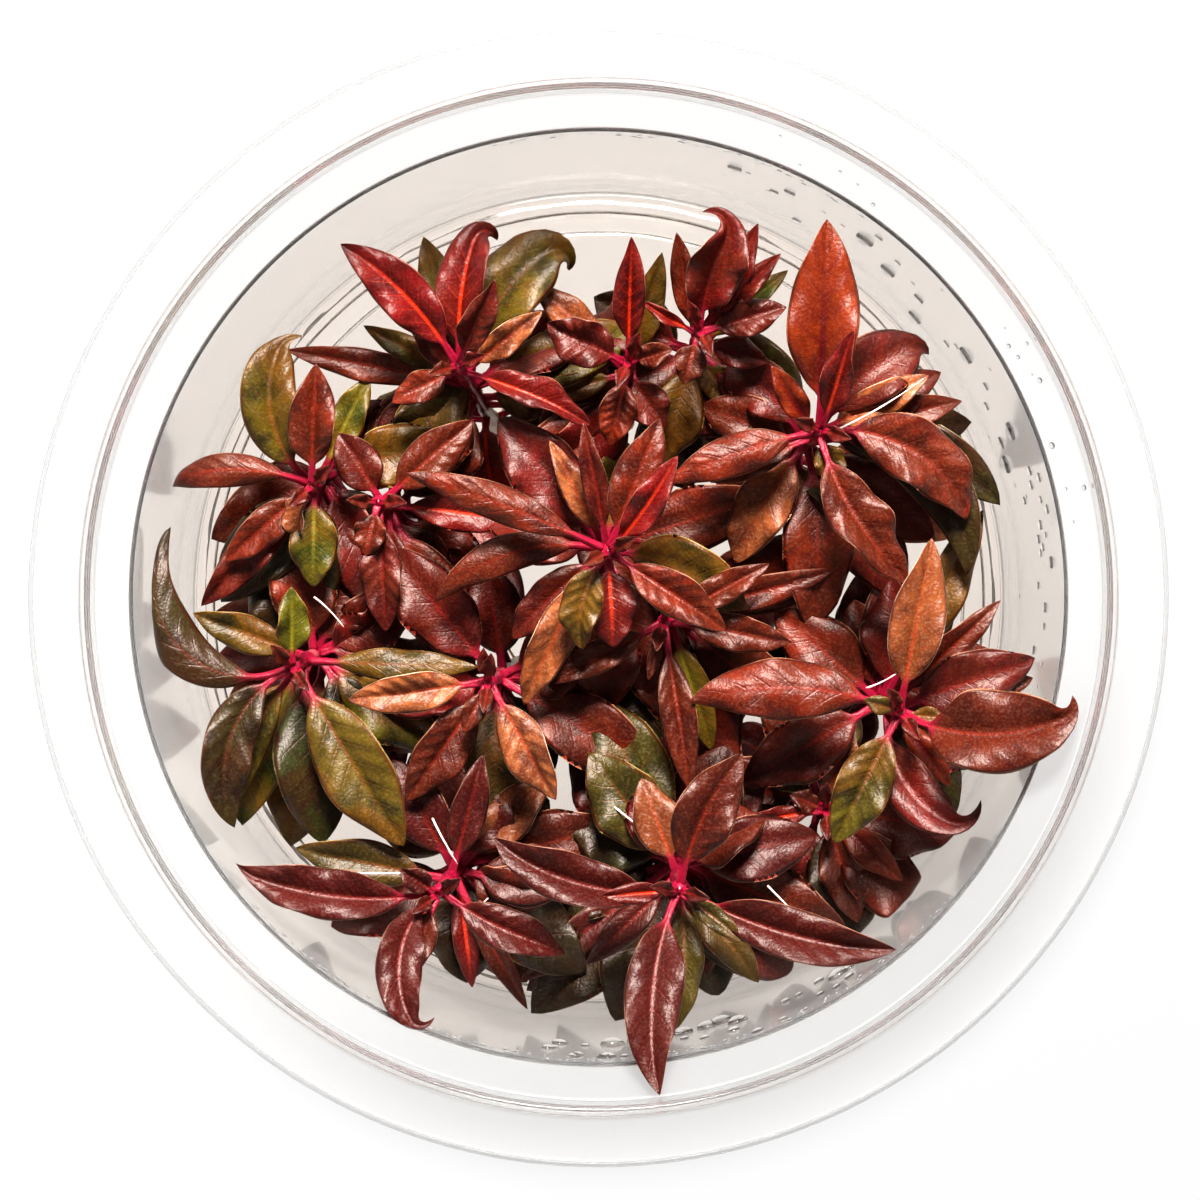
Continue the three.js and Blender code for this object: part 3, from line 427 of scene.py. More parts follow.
# Pale stray stalks by the name of the shoot that they lie on: their ends and heights in millimetres
STRANDS = {
    "northeast": (((23.5, 16.5, 43.5), (28, 18.5, 45.5), (32, 21.5, 44)),),
    "south_southwest": (
        ((-25.5, -27.5, 38.5), (-22, -27.5, 39.5), (-19, -27.5, 39)),
        ((-16.5, -22, 40), (-15.5, -24, 41.5), (-14, -26.5, 40.5)),
        ((-12.5, -31.5, 37), (-11.5, -30.5, 38.5), (-11, -30, 38.5)),
        ((-8.5, -19.5, 30), (-7.5, -22, 31), (-5.5, -24.5, 30.5)),
        ((-9.5, -20, 28), (-9, -22.5, 30), (-8, -25, 30)),
    ),
    "south": (
        ((1.5, -21, 35), (3.5, -22.5, 37), (6, -24.5, 36.5)),
        ((17, -29, 35), (18, -30, 36.5), (19.5, -31.5, 36)),
    ),
    "east": (
        ((26.5, -9, 42.5), (28, -8.5, 43.5), (29.5, -7.5, 43)),
        ((30.5, -12, 42.5), (32, -12.5, 44), (34, -13.5, 43.5)),
    ),
    "west_southwest": (
        ((-28.5, 0, 36), (-27, -1, 37), (-25.5, -3, 36.5)),
    ),
}


def linear(code: int) -> tuple:
    """Turns a 0xRRGGBB screen colour into a scene-linear colour.

    Args:
        code: The colour as it looks on a screen.

    Returns:
        Red, green, blue and an alpha of 1.
    """
    shares = [(code >> shift & 255) / 255 for shift in (16, 8, 0)]
    return tuple(s / 12.92 if s <= 0.04045 else ((s + 0.055) / 1.055) ** 2.4 for s in shares) + (1.0,)


Value = Union["Wire", float, tuple]


class Wire:
    """A node's output in a material, which Python's own operators combine."""

    def __init__(self, graph: "Graph", socket: bpy.types.NodeSocket) -> None:
        """Keeps the graph and the socket."""
        self.graph = graph
        self.socket = socket

    def __add__(self, other: Value) -> "Wire":
        """The sum of two values."""
        return self.graph.maths("ADD", self, other)

    __radd__ = __add__

    def __sub__(self, other: Value) -> "Wire":
        """This value less the other."""
        return self.graph.maths("SUBTRACT", self, other)

    def __rsub__(self, other: Value) -> "Wire":
        """The other value less this one."""
        return self.graph.maths("SUBTRACT", other, self)

    def __mul__(self, other: Value) -> "Wire":
        """The product of two values."""
        return self.graph.maths("MULTIPLY", self, other)

    __rmul__ = __mul__

    def __truediv__(self, other: Value) -> "Wire":
        """This value divided by the other."""
        return self.graph.maths("DIVIDE", self, other)

    def __abs__(self) -> "Wire":
        """The value without its sign."""
        return self.graph.maths("ABSOLUTE", self)

    def part(self) -> "Wire":
        """What is left of the value past its whole number."""
        return self.graph.maths("FRACT", self)

    def rise(self, low: float, high: float) -> "Wire":
        """A soft step.

        Args:
            low: Where the result is 0.
            high: Where the result is 1. It may be below low.

        Returns:
            The step as a value from 0 to 1.
        """
        if low > high:
            return 1.0 - self.rise(high, low)
        values = {"Value": self, "From Min": low, "From Max": high}
        return self.graph.node("ShaderNodeMapRange", {"interpolation_type": "SMOOTHSTEP"}, values)


class Graph:
    """A material and its nodes."""

    def __init__(self, name: str) -> None:
        """Makes the material with its Principled shader and output.

        Args:
            name: The material's name.
        """
        self.material = bpy.data.materials.new(name)
        self.material.use_nodes = True
        self.nodes = self.material.node_tree.nodes
        self.links = self.material.node_tree.links
        self.shader = self.nodes["Principled BSDF"]
        self.output = self.nodes["Material Output"]

    def node(self, kind: str, settings: dict, values: dict, output: Union[int, str] = 0) -> Wire:
        """Adds a node.

        Args:
            kind: The node's type.
            settings: The node's own properties, which are set first.
            values: What goes into its sockets, by name or number: a value or a wire.
            output: The socket that is handed back, by name or number.

        Returns:
            The node's output.
        """
        made = self.nodes.new(kind)
        for name, value in settings.items():
            setattr(made, name, value)
        for name, value in values.items():
            self.feed(made.inputs[name], value)
        return Wire(self, made.outputs[output])

    def feed(self, socket: bpy.types.NodeSocket, value: Value) -> None:
        """Puts a value or a wire into a socket.

        Args:
            socket: The socket.
            value: What goes into it.
        """
        if isinstance(value, Wire):
            self.links.new(value.socket, socket)
        else:
            socket.default_value = value

    def maths(self, operation: str, *values: Value) -> Wire:
        """A Math node on one or two values."""
        return self.node("ShaderNodeMath", {"operation": operation}, dict(enumerate(values)))

    def blend(self, share: Value, first: Value, second: Value) -> Wire:
        """Mixes two colours: the first where share is 0 and the second where it is 1."""
        return self.node("ShaderNodeMix", {"data_type": "RGBA"}, {0: share, 6: first, 7: second}, 2)

    def place(self) -> Wire:
        """The point in the object's own coordinates."""
        return self.node("ShaderNodeTexCoord", {}, {}, "Object")

    def noise(self, place: Wire, scale: float, detail: float = 3.0, rough: float = 0.5) -> Wire:
        """A cloudy pattern from 0 to 1 whose patches are about 1/scale metres wide."""
        values = {"Vector": place, "Scale": scale, "Detail": detail, "Roughness": rough}
        return self.node("ShaderNodeTexNoise", {}, values)

    def traits(self, name: str) -> tuple:
        """The three numbers that the mesh keeps under a name."""
        kept = self.node("ShaderNodeAttribute", {"attribute_name": name}, {}, "Vector")
        return tuple(self.node("ShaderNodeSeparateXYZ", {}, {0: kept}, axis) for axis in "XYZ")

    def relief(self, height: Wire, depth: float, strength: float) -> Wire:
        """A bumped normal from a height of 0 to 1 that stands for depth metres."""
        return self.node("ShaderNodeBump", {}, {"Height": height, "Distance": depth, "Strength": strength})

    def finish(self, **sockets: Value) -> bpy.types.Material:
        """Sets the Principled shader's sockets.

        Args:
            sockets: Values or wires by socket name, with _ for a space.

        Returns:
            The finished material.
        """
        for name, value in sockets.items():
            self.feed(self.shader.inputs[name.replace("_", " ")], value)
        return self.material


@dataclass(frozen=True)
class LeafFinish:
    """The skin of a leaf: its colours, as they look on a screen, and how far they wander.

    Scales are in patches to a metre, spans are where a soft step starts and ends, and the spans across the
    midrib are in millimetres.
    """

    tone: Tone
    blade: int
    shade: int
    painted_sheen: int
    rib: int
    rim: int
    # The underside's own crimson, made brighter than it is so that it also stands for light from below: partly
    # painted light.
    under: int
    patch: int
    patches: float
    veins: float = 0.3
    rib_share: float = 0.9
    petiole: int = 0x8C0C2C
    pairs: float = 9.0
    lean: float = 1.5
    change: float = 0.6
    south_shade_share: float = 0.6
    change_span: tuple = (0.1, 0.9)
    rib_width: float = 1.0
    cloud_scale: float = 300.0
    patch_scale: float = 150.0
    grain_scale: float = 3400.0
    cloud_span: tuple = (0.28, 0.62)
    patch_span: tuple = (0.48, 0.60)
    grain_span: tuple = (0.44, 0.76)
    vein_span: tuple = (0.80, 1.0)
    vein_fade: tuple = (1.0, 0.25)
    between_span: tuple = (0.2, 0.9)
    rib_span: tuple = (0.26, 0.08)
    rib_fade: tuple = (1.0, 0.3)
    stalk_span: tuple = (0.24, 0.12)
    rim_span: tuple = (0.84, 0.95)
    rim_highlight_span: tuple = (0.95, 0.99)
    between_share: float = 0.35
    sheen_speckle_share: float = 0.07
    rim_and_highlight_share: float = 0.6
    grain_height: float = 0.32
    cloud_height: float = 1.2
    swell_height: float = 0.12
    relief_depth: float = 0.00035
    relief_strength: float = 0.55
    roughness: float = 0.39
    grain_roughness: float = 0.12
    index: float = 1.44
    sheen_tint: tuple = (1.0, 0.86, 0.78, 1.0)

    def make(self) -> bpy.types.Material:
        """Builds the material.

        Returns:
            A satin skin with a bright midrib, side veins, a fine grain with a painted sheen speckle, a painted
            highlight along the edge, painted shade on southern leaves, and cloudy patches.
        """
        graph = Graph(f"leaf_skin_{self.tone.value}")
        across, along, edge = graph.traits("blade")
        under, seed, south_shade = graph.traits("trait")
        shifted = graph.node(
            "ShaderNodeVectorMath", {"operation": "ADD"},
            {0: graph.place(), 1: graph.node("ShaderNodeCombineXYZ", {}, {0: seed, 1: seed * 0.7, 2: 0.0})},
        )
        cloud = graph.noise(shifted, self.cloud_scale, 2.0, 0.6)
        patch = graph.noise(shifted, self.patch_scale, 1.0, 0.5)
        grain = graph.noise(shifted, self.grain_scale, 1.0, 0.5)
        line = abs((along * self.pairs - edge * self.lean + seed * 3.0).part() - 0.5) * 2.0
        vein = line.rise(*self.vein_span) * edge.rise(*self.vein_fade)
        between = line.rise(*self.between_span)
        rib = (abs(across) / self.rib_width).rise(*self.rib_span)
        stalk = along.rise(*self.stalk_span)
        changed = seed.rise(*self.change_span) * self.change
        blade = graph.blend(changed, linear(self.blade), linear(self.patch))
        colour = graph.blend(cloud.rise(*self.cloud_span), linear(self.shade), blade)
        colour = graph.blend(patch.rise(*self.patch_span) * self.patches, colour, linear(self.patch))
        colour = graph.blend(between * self.between_share, colour, linear(self.shade))
        # Painted shade: leaves towards the south, away from the light, are darkened towards the shade colour.
        colour = graph.blend(south_shade * self.south_shade_share, colour, linear(self.shade))
        # Painted sheen: a pale speckle over the fine grain that stands in for the leaves' satin highlights.
        colour = graph.blend(grain.rise(*self.grain_span) * self.sheen_speckle_share, colour, linear(self.painted_sheen))
        colour = graph.blend(vein * self.veins, colour, linear(self.rib))
        colour = graph.blend(edge.rise(*self.rim_span) * self.rim_and_highlight_share, colour, linear(self.rim))
        # Painted highlight: a thin pale line along the edge, in the sheen colour.
        colour = graph.blend(edge.rise(*self.rim_highlight_span) * self.rim_and_highlight_share, colour, linear(self.painted_sheen))
        # Underside colour: its own crimson, brightened as painted light from below.
        colour = graph.blend(under, colour, linear(self.under))
        colour = graph.blend(rib * along.rise(*self.rib_fade) * self.rib_share, colour, linear(self.rib))
        colour = graph.blend(stalk, colour, linear(self.petiole))
        height = grain * self.grain_height + cloud * self.cloud_height + (1.0 - vein) * self.swell_height
        return graph.finish(
            Base_Color=colour,
            Roughness=self.roughness + grain * self.grain_roughness,
            Normal=graph.relief(height, self.relief_depth, self.relief_strength),
            IOR=self.index,
            Specular_Tint=self.sheen_tint,
        )


LEAF_FINISHES = (
    LeafFinish(
        RUBY, 0x6E080A, 0x420204, 0xC87258, 0xC83008, 0x360204, 0xB01424, 0x561006,
        0.5, 0.2, 0.8, change=0.9,
    ),
    LeafFinish(
        WINE, 0x600D08, 0x340403, 0xB47A60, 0x80120A, 0x2C0503, 0x9C1C18, 0x4E1A06,
        0.5, 0.14, 0.35, south_shade_share=0.8,
    ),
    LeafFinish(
        BRONZE, 0x6C1D06, 0x380802, 0xCC906A, 0x88200C, 0x380603, 0xA42814, 0x421604,
        0.5, 0.14, 0.4,
    ),
    LeafFinish(
        COPPER, 0x9A562E, 0x50200C, 0xFAD8B4, 0x9C300E, 0x501002, 0xA4240A, 0x74340C,
        0.4, 0.14, 0.5,
    ),
    # The ember leaves' bright orange is partly their own colour and partly painted light: the glow of light
    # shining through them.
    LeafFinish(
        EMBER, 0x7E2A04, 0x4C0C02, 0xD08050, 0x480006, 0x480802, 0xB02C04, 0x641A04,
        0.6, 0.2, 0.95, rib_width=2.2,
    ),
    LeafFinish(
        OLIVE, 0x524608, 0x262004, 0xB4A460, 0x763A14, 0x541203, 0x6C4606, 0x603404,
        0.6, 0.2, 0.4,
    ),
    LeafFinish(
        MOSS, 0x2A320A, 0x1C0C03, 0x84805A, 0x641C0C, 0x400802, 0x4E1408, 0x341603,
        0.7, 0.12, 0.3,
    ),
    LeafFinish(
        GREEN, 0x4E5608, 0x262C03, 0xB8B460, 0x84741A, 0x722A04, 0x707010, 0x643E04,
        0.7, 0.2, 0.5,
    ),
)


@dataclass(frozen=True)
class StemFinish:
    """The skin of a stem: crimson, paler and greener towards its foot."""

    bright: int = 0xA80C38
    deep: int = 0x6C0622
    pale: int = 0xC86A60
    green: int = 0x9A8A48
    foot_height: float = 0.012
    crown_height: float = 0.038
    streak_scale: float = 1900.0
    streak_stretch: tuple = (1.0, 1.0, 0.12)
    cloud_scale: float = 300.0
    pale_share: float = 0.6
    green_share: float = 0.7
    streak_span: tuple = (0.35, 0.68)
    pale_span: tuple = (0.52, 0.72)
    green_top: float = 0.75
    roughness: float = 0.32
    cloud_roughness: float = 0.16
    relief_depth: float = 0.0001
    relief_strength: float = 0.4
    coat: float = 0.2

    def make(self) -> bpy.types.Material:
        """Builds the material.

        Returns:
            A lightly coated skin with fine lengthwise streaks.
        """
        graph = Graph("stem_skin")
        place = graph.place()
        height = graph.node("ShaderNodeSeparateXYZ", {}, {0: place}, "Z")
        stretched = graph.node(
            "ShaderNodeMapping", {}, {"Vector": place, "Scale": self.streak_stretch}
        )
        streak = graph.noise(stretched, self.streak_scale, 3.0, 0.6)
        cloud = graph.noise(place, self.cloud_scale, 2.0, 0.5)
        colour = graph.blend(streak.rise(*self.streak_span), linear(self.deep), linear(self.bright))
        colour = graph.blend(cloud.rise(*self.pale_span) * self.pale_share, colour, linear(self.pale))
        low = height.rise(self.crown_height * self.green_top, self.foot_height)
        colour = graph.blend(low * self.green_share, colour, linear(self.green))
        return graph.finish(
            Base_Color=colour,
            Roughness=self.roughness + cloud * self.cloud_roughness,
            Normal=graph.relief(streak, self.relief_depth, self.relief_strength),
            Coat_Weight=self.coat,
            Coat_Roughness=self.coat,
        )


@dataclass(frozen=True)
class RootFinish:
    """The skin of the fine pale roots and stray stalks."""

    light: int = 0xF3E3D8
    warm: int = 0xE0A8A0
    cloud_scale: float = 420.0
    warm_span: tuple = (0.42, 0.68)
    roughness: float = 0.38
    cloud_roughness: float = 0.1
    relief_depth: float = 0.00005
    relief_strength: float = 0.3

    def make(self) -> bpy.types.Material:
        """Builds the material.

        Returns:
            A pale skin that blushes in patches.
        """
        graph = Graph("root_skin")
        cloud = graph.noise(graph.place(), self.cloud_scale, 2.0, 0.5)
        colour = graph.blend(cloud.rise(*self.warm_span), linear(self.light), linear(self.warm))
        return graph.finish(
            Base_Color=colour,
            Roughness=self.roughness + cloud * self.cloud_roughness,
            Normal=graph.relief(cloud, self.relief_depth, self.relief_strength),
        )


@dataclass(frozen=True)
class ClearFinish:
    """A clear substance: how it bends light, how clear it is, and what light it takes up over a length.

    The faint warm tint of its lower part, up to a height given in metres, is a painted reflection of the
    leaves in the wall, and ripple is the depth of its waves.
    """

    name: str
    index: float
    haze: float = 0.0
    clarity: float = 1.0
    body: tuple = (1.0, 1.0, 1.0, 1.0)
    tint: tuple = (1.0, 1.0, 1.0, 1.0)
    density: float = 0.0
    leaf_reflection_tint: tuple = ()
    reflection_top: float = 0.0474
    reflection_fade: float = 0.9
    ripple: float = 0.0
    ripple_scale: float = 90.0
    ripple_strength: float = 0.5

    def make(self) -> bpy.types.Material:
        """Builds the material.

        Returns:
            Plain transmission, with absorption where density is above 0.
        """
        graph = Graph(self.name)
        graph.finish(
            Base_Color=self.body,
            Roughness=self.haze,
            IOR=self.index,
            Transmission_Weight=self.clarity,
        )
        # Painted reflection: the lower part is tinted warm for the leaves that the wall reflects.
        if self.leaf_reflection_tint:
            height = graph.node("ShaderNodeSeparateXYZ", {}, {0: graph.place()}, "Z")
            above = height.rise(self.reflection_top * self.reflection_fade, self.reflection_top)
            graph.finish(Base_Color=graph.blend(above, self.leaf_reflection_tint, self.body))
        if self.ripple:
            cloud = graph.noise(graph.place(), self.ripple_scale, 2.0, 0.5)
            graph.finish(Normal=graph.relief(cloud, self.ripple, self.ripple_strength))
        if self.density:
            soak = graph.nodes.new("ShaderNodeVolumeAbsorption")
            soak.inputs["Color"].default_value = self.tint
            soak.inputs["Density"].default_value = self.density
            graph.links.new(soak.outputs[0], graph.output.inputs["Volume"])
        return graph.material


CUP_FINISH = ClearFinish(
    "clear_moulded_plastic", 1.33, haze=0.10, clarity=0.96,
    body=(1.0, 0.99, 0.978, 1.0), leaf_reflection_tint=(1.0, 0.95, 0.90, 1.0),
)
JELLY_FINISH = ClearFinish("clear_jelly", 1.34, tint=(0.96, 0.88, 0.82, 1.0), density=70.0, ripple=0.0004)
# The drops' grey absorption is painted shade: it stands in for the dark look that refraction gives clear
# drops.
DROP_FINISH = ClearFinish("condensation", 1.33, tint=(0.5, 0.5, 0.52, 1.0), density=600.0)
BUBBLE_FINISH = ClearFinish("bubbles", 1.30)
# The cut edge's grey absorption is painted shade: it draws the dark line that refraction makes under the lip.
EDGE_FINISH = ClearFinish("trimmed_edge_painted_shade", 1.33, tint=(0.5, 0.5, 0.5, 1.0), density=1600.0)


class Draft:
    """A mesh in the making: points, faces, each point's kept numbers and each face's material."""

    def __init__(self) -> None:
        """Starts with nothing."""
        self.points: list = []
        self.blade: list = []
        self.trait: list = []
        self.faces: list = []
        self.skins: list = []
        self.materials: list = []
        self.count = 0

    def add(self, points: np.ndarray, faces: list, material: bpy.types.Material,
            blade: np.ndarray = None, trait: np.ndarray = None) -> None:
        """Adds a closed shape.

        Args:
            points: Its corners in metres.
            faces: Its faces as corner numbers, seen from outside against the clock.
            material: The finish of all its faces.
            blade: For a leaf, the distance across in millimetres, the share along and the share out.
            trait: For a leaf, 1 where it is the underside, its own random number, and its painted shade, which
                darkens leaves that lie towards the south, away from the light.
        """
        if material not in self.materials:
            self.materials.append(material)
        skin = self.materials.index(material)
        none = np.zeros((len(points), 3))
        self.points.append(points)
        self.blade.append(none if blade is None else blade)
        self.trait.append(none if trait is None else trait)
        self.faces += [tuple(corner + self.count for corner in face) for face in faces]
        self.skins += [skin] * len(faces)
        self.count += len(points)

    def make(self, name: str) -> bpy.types.Object:
        """Turns the draft into an object at the origin.

        Args:
            name: The piece's name.

        Returns:
            The object, smooth, with its materials and attributes.
        """
        mesh = bpy.data.meshes.new(name)
        mesh.from_pydata(np.vstack(self.points).tolist(), [], self.faces)
        for material in self.materials:
            mesh.materials.append(material)
        mesh.polygons.foreach_set("material_index", self.skins)
        mesh.polygons.foreach_set("use_smooth", [True] * len(self.faces))
        for key, rows in (("blade", self.blade), ("trait", self.trait)):
            kept = mesh.attributes.new(key, "FLOAT_VECTOR", "POINT")
            kept.data.foreach_set("vector", np.vstack(rows).astype(np.float32).ravel())
        mesh.update()
        piece = bpy.data.objects.new(name, mesh)
        bpy.context.scene.collection.objects.link(piece)
        return piece


def ring_faces(rings: int, corners: int) -> list:
    """Faces of a closed tube of rings, with a flat cap at each end.

    Args:
        rings: How many rings there are.
        corners: How many points each ring has, against the clock about the way that the tube runs.

    Returns:
        The faces, pointing outwards.
    """
    faces = []
    for ring in range(rings - 1):
        for k in range(corners):
            a = ring * corners + k
            b = ring * corners + (k + 1) % corners
            faces.append((a, b, b + corners, a + corners))
    faces.append(tuple(reversed(range(corners))))
    faces.append(tuple(range((rings - 1) * corners, rings * corners)))
    return faces


def tube(path: np.ndarray, radii: np.ndarray, sides: int) -> tuple:
    """A closed round tube along a path.

    Args:
        path: The points of its middle line.
        radii: Its radius at each point.
        sides: How many sides it has.

    Returns:
        Its points and its faces.
    """
    along = np.gradient(path, axis=0)
    along /= np.linalg.norm(along, axis=1)[:, None]
    side = np.cross(along[0], (0.0, 0.0, 1.0) if abs(along[0][2]) < 0.9 else (1.0, 0.0, 0.0))
    rings = []
    for place, way, radius in zip(path, along, radii):
        side = side - way * np.dot(side, way)
        side /= np.linalg.norm(side)
        other = np.cross(way, side)
        turns = np.arange(sides) / sides * 2 * math.pi
        rings.append(place + radius * (np.outer(np.cos(turns), side) + np.outer(np.sin(turns), other)))
    return np.vstack(rings), ring_faces(len(path), sides)


def smooth(x: np.ndarray, low: float, high: float) -> np.ndarray:
    """A soft step from 0 at low to 1 at high."""
    share = np.clip((x - low) / (high - low), 0.0, 1.0)
    return share * share * (3 - 2 * share)


@dataclass
class LeafForm:
    """The shape that all leaves share: a stalk, a lance-shaped blade, quilting between the veins, and a tip.

    margin, quilting, the span of the painted shade on southern leaves, the widths and the depths are in
    millimetres, and wobble is in degrees.
    pairs, quilting_stations and wave_counts are counts along a leaf. The rest are rates, powers and shares
    of its length or of half its width.
    """

    cup: "Cup"
    margin: float = 1.35
    stalk_share: float = 0.16
    stalk_width: float = 1.0
    stalk_taper: float = 0.25
    least_width: float = 0.03
    skew: float = 0.85
    fullness: float = 0.8
    roll_rate: float = 1.6
    stalk_half_depth: float = 0.38
    blade_half_depth: float = 0.11
    rib_depth: float = 0.20
    crease: float = 0.10
    camber: float = 0.22
    quilting: float = 0.21
    quilting_stations: float = 46.0
    pairs: float = 9.0
    lean: float = 1.5
    ruffle: float = 0.27
    hook_taper: float = 0.5
    hook_span: tuple = (1.2, 0.3)
    fold_gain: float = 1.5
    # Where the painted shade of southern leaves starts and where it is full, in millimetres south of the
    # middle.
    south_shade_span: tuple = (0.0, 30.0)
    wobble: float = 17.0
    wobble_rate: float = 4.5
    wave_counts: tuple = (1.4, 3.2)
    end_crowding: float = 0.4
    rise_gain: float = 1.1
    folded_camber: float = 0.6
    cupped_camber: float = 0.25
    keel_width: float = 0.45
    keel_top: float = 0.35
    tip_start: float = 0.8
    tip_thinning: float = 0.85

    def half_width(self, leaf: Leaf, share: np.ndarray) -> np.ndarray:
        """Half the leaf's width along its length.

        Args:
            leaf: The leaf.
            share: Where along it, from 0 at its stem to 1 at its tip.

        Returns:
            Half the width in millimetres at each share.
        """
        along = np.clip((share - self.stalk_share) / (1 - self.stalk_share), 0.0, 1.0)
        blade = leaf.width / 2 * np.sin(np.pi * along ** self.skew) ** self.fullness
        if leaf.curl:
            first, last = (1 - part * leaf.curl for part in self.hook_span)
            blade = blade * (1 - self.hook_taper * smooth(share, first, last))
        stalk = self.stalk_width / 2 * (1 - self.stalk_taper * smooth(share, 0.0, self.stalk_share))
        return np.maximum(blade, stalk * (1 - along) * 0.92 + self.least_width)

    def spine(self, leaf: Leaf, start: np.ndarray, target: np.ndarray, stations: int) -> tuple:
        """The leaf's middle line, turned and sized to run in plan from start to target.

        Args:
            leaf: The leaf.
            start: Where it leaves its stem, in millimetres.
            target: Where its tip is in plan.
            stations: How many points the line has.

        Returns:
            The shares of the length, the points, and the heading and slope at each point.
        """
        share = np.linspace(0.0, 1.0, stations)
        middle = (share[1:] + share[:-1]) / 2
        heading = np.radians(leaf.swing * (middle - 0.5))
        slope = np.radians(leaf.lift - leaf.droop * middle)
        end = np.sum([np.cos(slope) * np.cos(heading), np.cos(slope) * np.sin(heading)], axis=1)
        turn = math.atan2(*(target - start)[1::-1]) - math.atan2(end[1], end[0])
        size = math.hypot(*(target - start)[:2]) / math.hypot(*end)
        hook = smooth(middle, 1 - leaf.curl, 1.0) if leaf.curl else np.zeros(stations - 1)
        heading = heading + turn + np.radians(leaf.turn) * hook
        slope = slope - np.radians(leaf.dip) * hook
        steps = np.stack([np.cos(slope) * np.cos(heading), np.cos(slope) * np.sin(heading), np.sin(slope)], 1)
        points = start + size * np.vstack([np.zeros(3), np.cumsum(steps, axis=0)])
        hook = smooth(share, 1 - leaf.curl, 1.0) if leaf.curl else np.zeros(stations)
        heading = np.radians(leaf.swing * (share - 0.5)) + turn + np.radians(leaf.turn) * hook
        slope = np.radians(leaf.lift - leaf.droop * share) - np.radians(leaf.dip) * hook
        return share, points, heading, slope

    def kept_inside(self, corners: np.ndarray) -> np.ndarray:
        """Bends a leaf that would go through the cup's wall along it instead.

        Args:
            corners: The leaf's points in millimetres.

        Returns:
            The points, eased towards the wall wherever they come within its margin. A leaf that rises over
            the cup's step stays as it is.
        """
        if corners[..., 2].max() > self.cup.shelf_low:
            return corners
        reach = np.hypot(corners[..., 0], corners[..., 1])
        free = self.cup.wall_radius(corners[..., 2]) - self.margin
        over = np.maximum(reach - free, 0.0)
        eased = free + self.margin * 0.8 * (1 - np.exp(-over / self.margin))
        share = np.where(over > 0, eased / np.maximum(reach, 1.0), 1.0)
        return corners * np.stack([share, share, np.ones_like(share)], -1)

    def grow(self, draft: Draft, leaf: Leaf, ends: tuple, stations: int, half_ring: int,
             skin: bpy.types.Material, chance: random.Random) -> None:
        """Adds a leaf to a draft.

        Args:
            draft: Where the leaf goes.
            leaf: The leaf.
            ends: Where it leaves its stem and where its tip is in plan, in millimetres.
            stations: How many rings the leaf has.
            half_ring: How many steps each of its two faces has across.
            skin: Its material.
            chance: The source of its own small differences.
        """
        share, points, heading, slope = self.spine(leaf, *ends, stations)
        # Painted shade: how much darker the leaf is painted for lying towards the south, away from the light.
        south_shade = float(smooth(-ends[0][1], *self.south_shade_span))
        phases = [chance.uniform(0, 2 * math.pi) for _ in range(3)]
        waves = chance.uniform(*self.wave_counts)
        seed = chance.random()
        along = np.stack([np.cos(slope) * np.cos(heading), np.cos(slope) * np.sin(heading), np.sin(slope)], 1)
        flat = np.stack([-np.sin(heading), np.cos(heading), np.zeros(stations)], 1)
        roll = np.radians(leaf.roll) * np.minimum(1.0, share * self.roll_rate)
        roll = roll + np.radians(self.wobble) * np.sin(share * self.wobble_rate + phases[0]) * share
        side = flat * np.cos(roll)[:, None] + np.cross(along, flat) * np.sin(roll)[:, None]
        up = np.cross(along, side)
        even = np.linspace(1.0, -1.0, half_ring + 1)
        round_off = np.cos(np.linspace(0.0, math.pi, half_ring + 1))
        out = (1 - self.end_crowding) * even + self.end_crowding * round_off
        ring = np.concatenate([out, out[-2:0:-1]])
        sheet = np.concatenate([[0.0], np.ones(half_ring - 1), [0.0], -np.ones(half_ring - 1)])
        width = self.half_width(leaf, share)[:, None]
        blade = smooth(share, self.stalk_share * 0.8, self.stalk_share + 0.2)[:, None]
        fading = smooth(share, 1.0, self.tip_start)[:, None] * blade
        size = np.abs(ring)[None, :]
        rise = math.radians(leaf.fold * self.fold_gain)
        bend = np.sqrt(size ** 2 + self.crease ** 2) - self.crease
        height = width * math.sin(rise) * bend * self.rise_gain
        bulge = 4 * size * (1 - size)
        arch = bulge * self.camber * width * (self.folded_camber if leaf.fold > 0 else self.cupped_camber)
        veins = np.sin(2 * np.pi * (share[:, None] * self.pairs - size * self.lean + seed * 3))
        quilt = self.quilting * min(1.0, stations / self.quilting_stations) ** 2
        quilt = quilt * (0.5 - 0.5 * veins) * bulge * np.minimum(1.0, width / 2)
        edge = np.where(ring > 0, 1.0, -1.0)[None, :]
        wave = np.sin(2 * np.pi * waves * share[:, None] + phases[1] + edge * phases[2])
        ruffle = self.ruffle * width * wave * size ** 2
        height = height + (arch + quilt + ruffle) * fading
        depth = self.stalk_half_depth + (self.blade_half_depth - self.stalk_half_depth) * blade
        depth = depth * (1 - self.tip_thinning * smooth(share, self.tip_start, 1.0))[:, None]
        body = depth * np.sqrt(np.clip(1 - size ** 2, 0.0, 1.0))
        keel = self.rib_depth * np.exp(-(ring[None, :] * width / self.keel_width) ** 2)
        keel = keel * blade * (1 - share[:, None])
        under = sheet[None, :] < 0
        groove = keel * self.keel_top * (sheet[None, :] > 0)
        height = height + body * sheet[None, :] - np.where(under, keel, groove)
        offset = ring[None, :] * width * math.cos(rise)
        corners = points[:, None, :] + side[:, None, :] * offset[..., None]
        corners = self.kept_inside(corners + up[:, None, :] * height[..., None])
        count = stations * len(ring)
        blade_rows = np.stack(np.broadcast_arrays(ring[None, :] * width, share[:, None], size), -1)
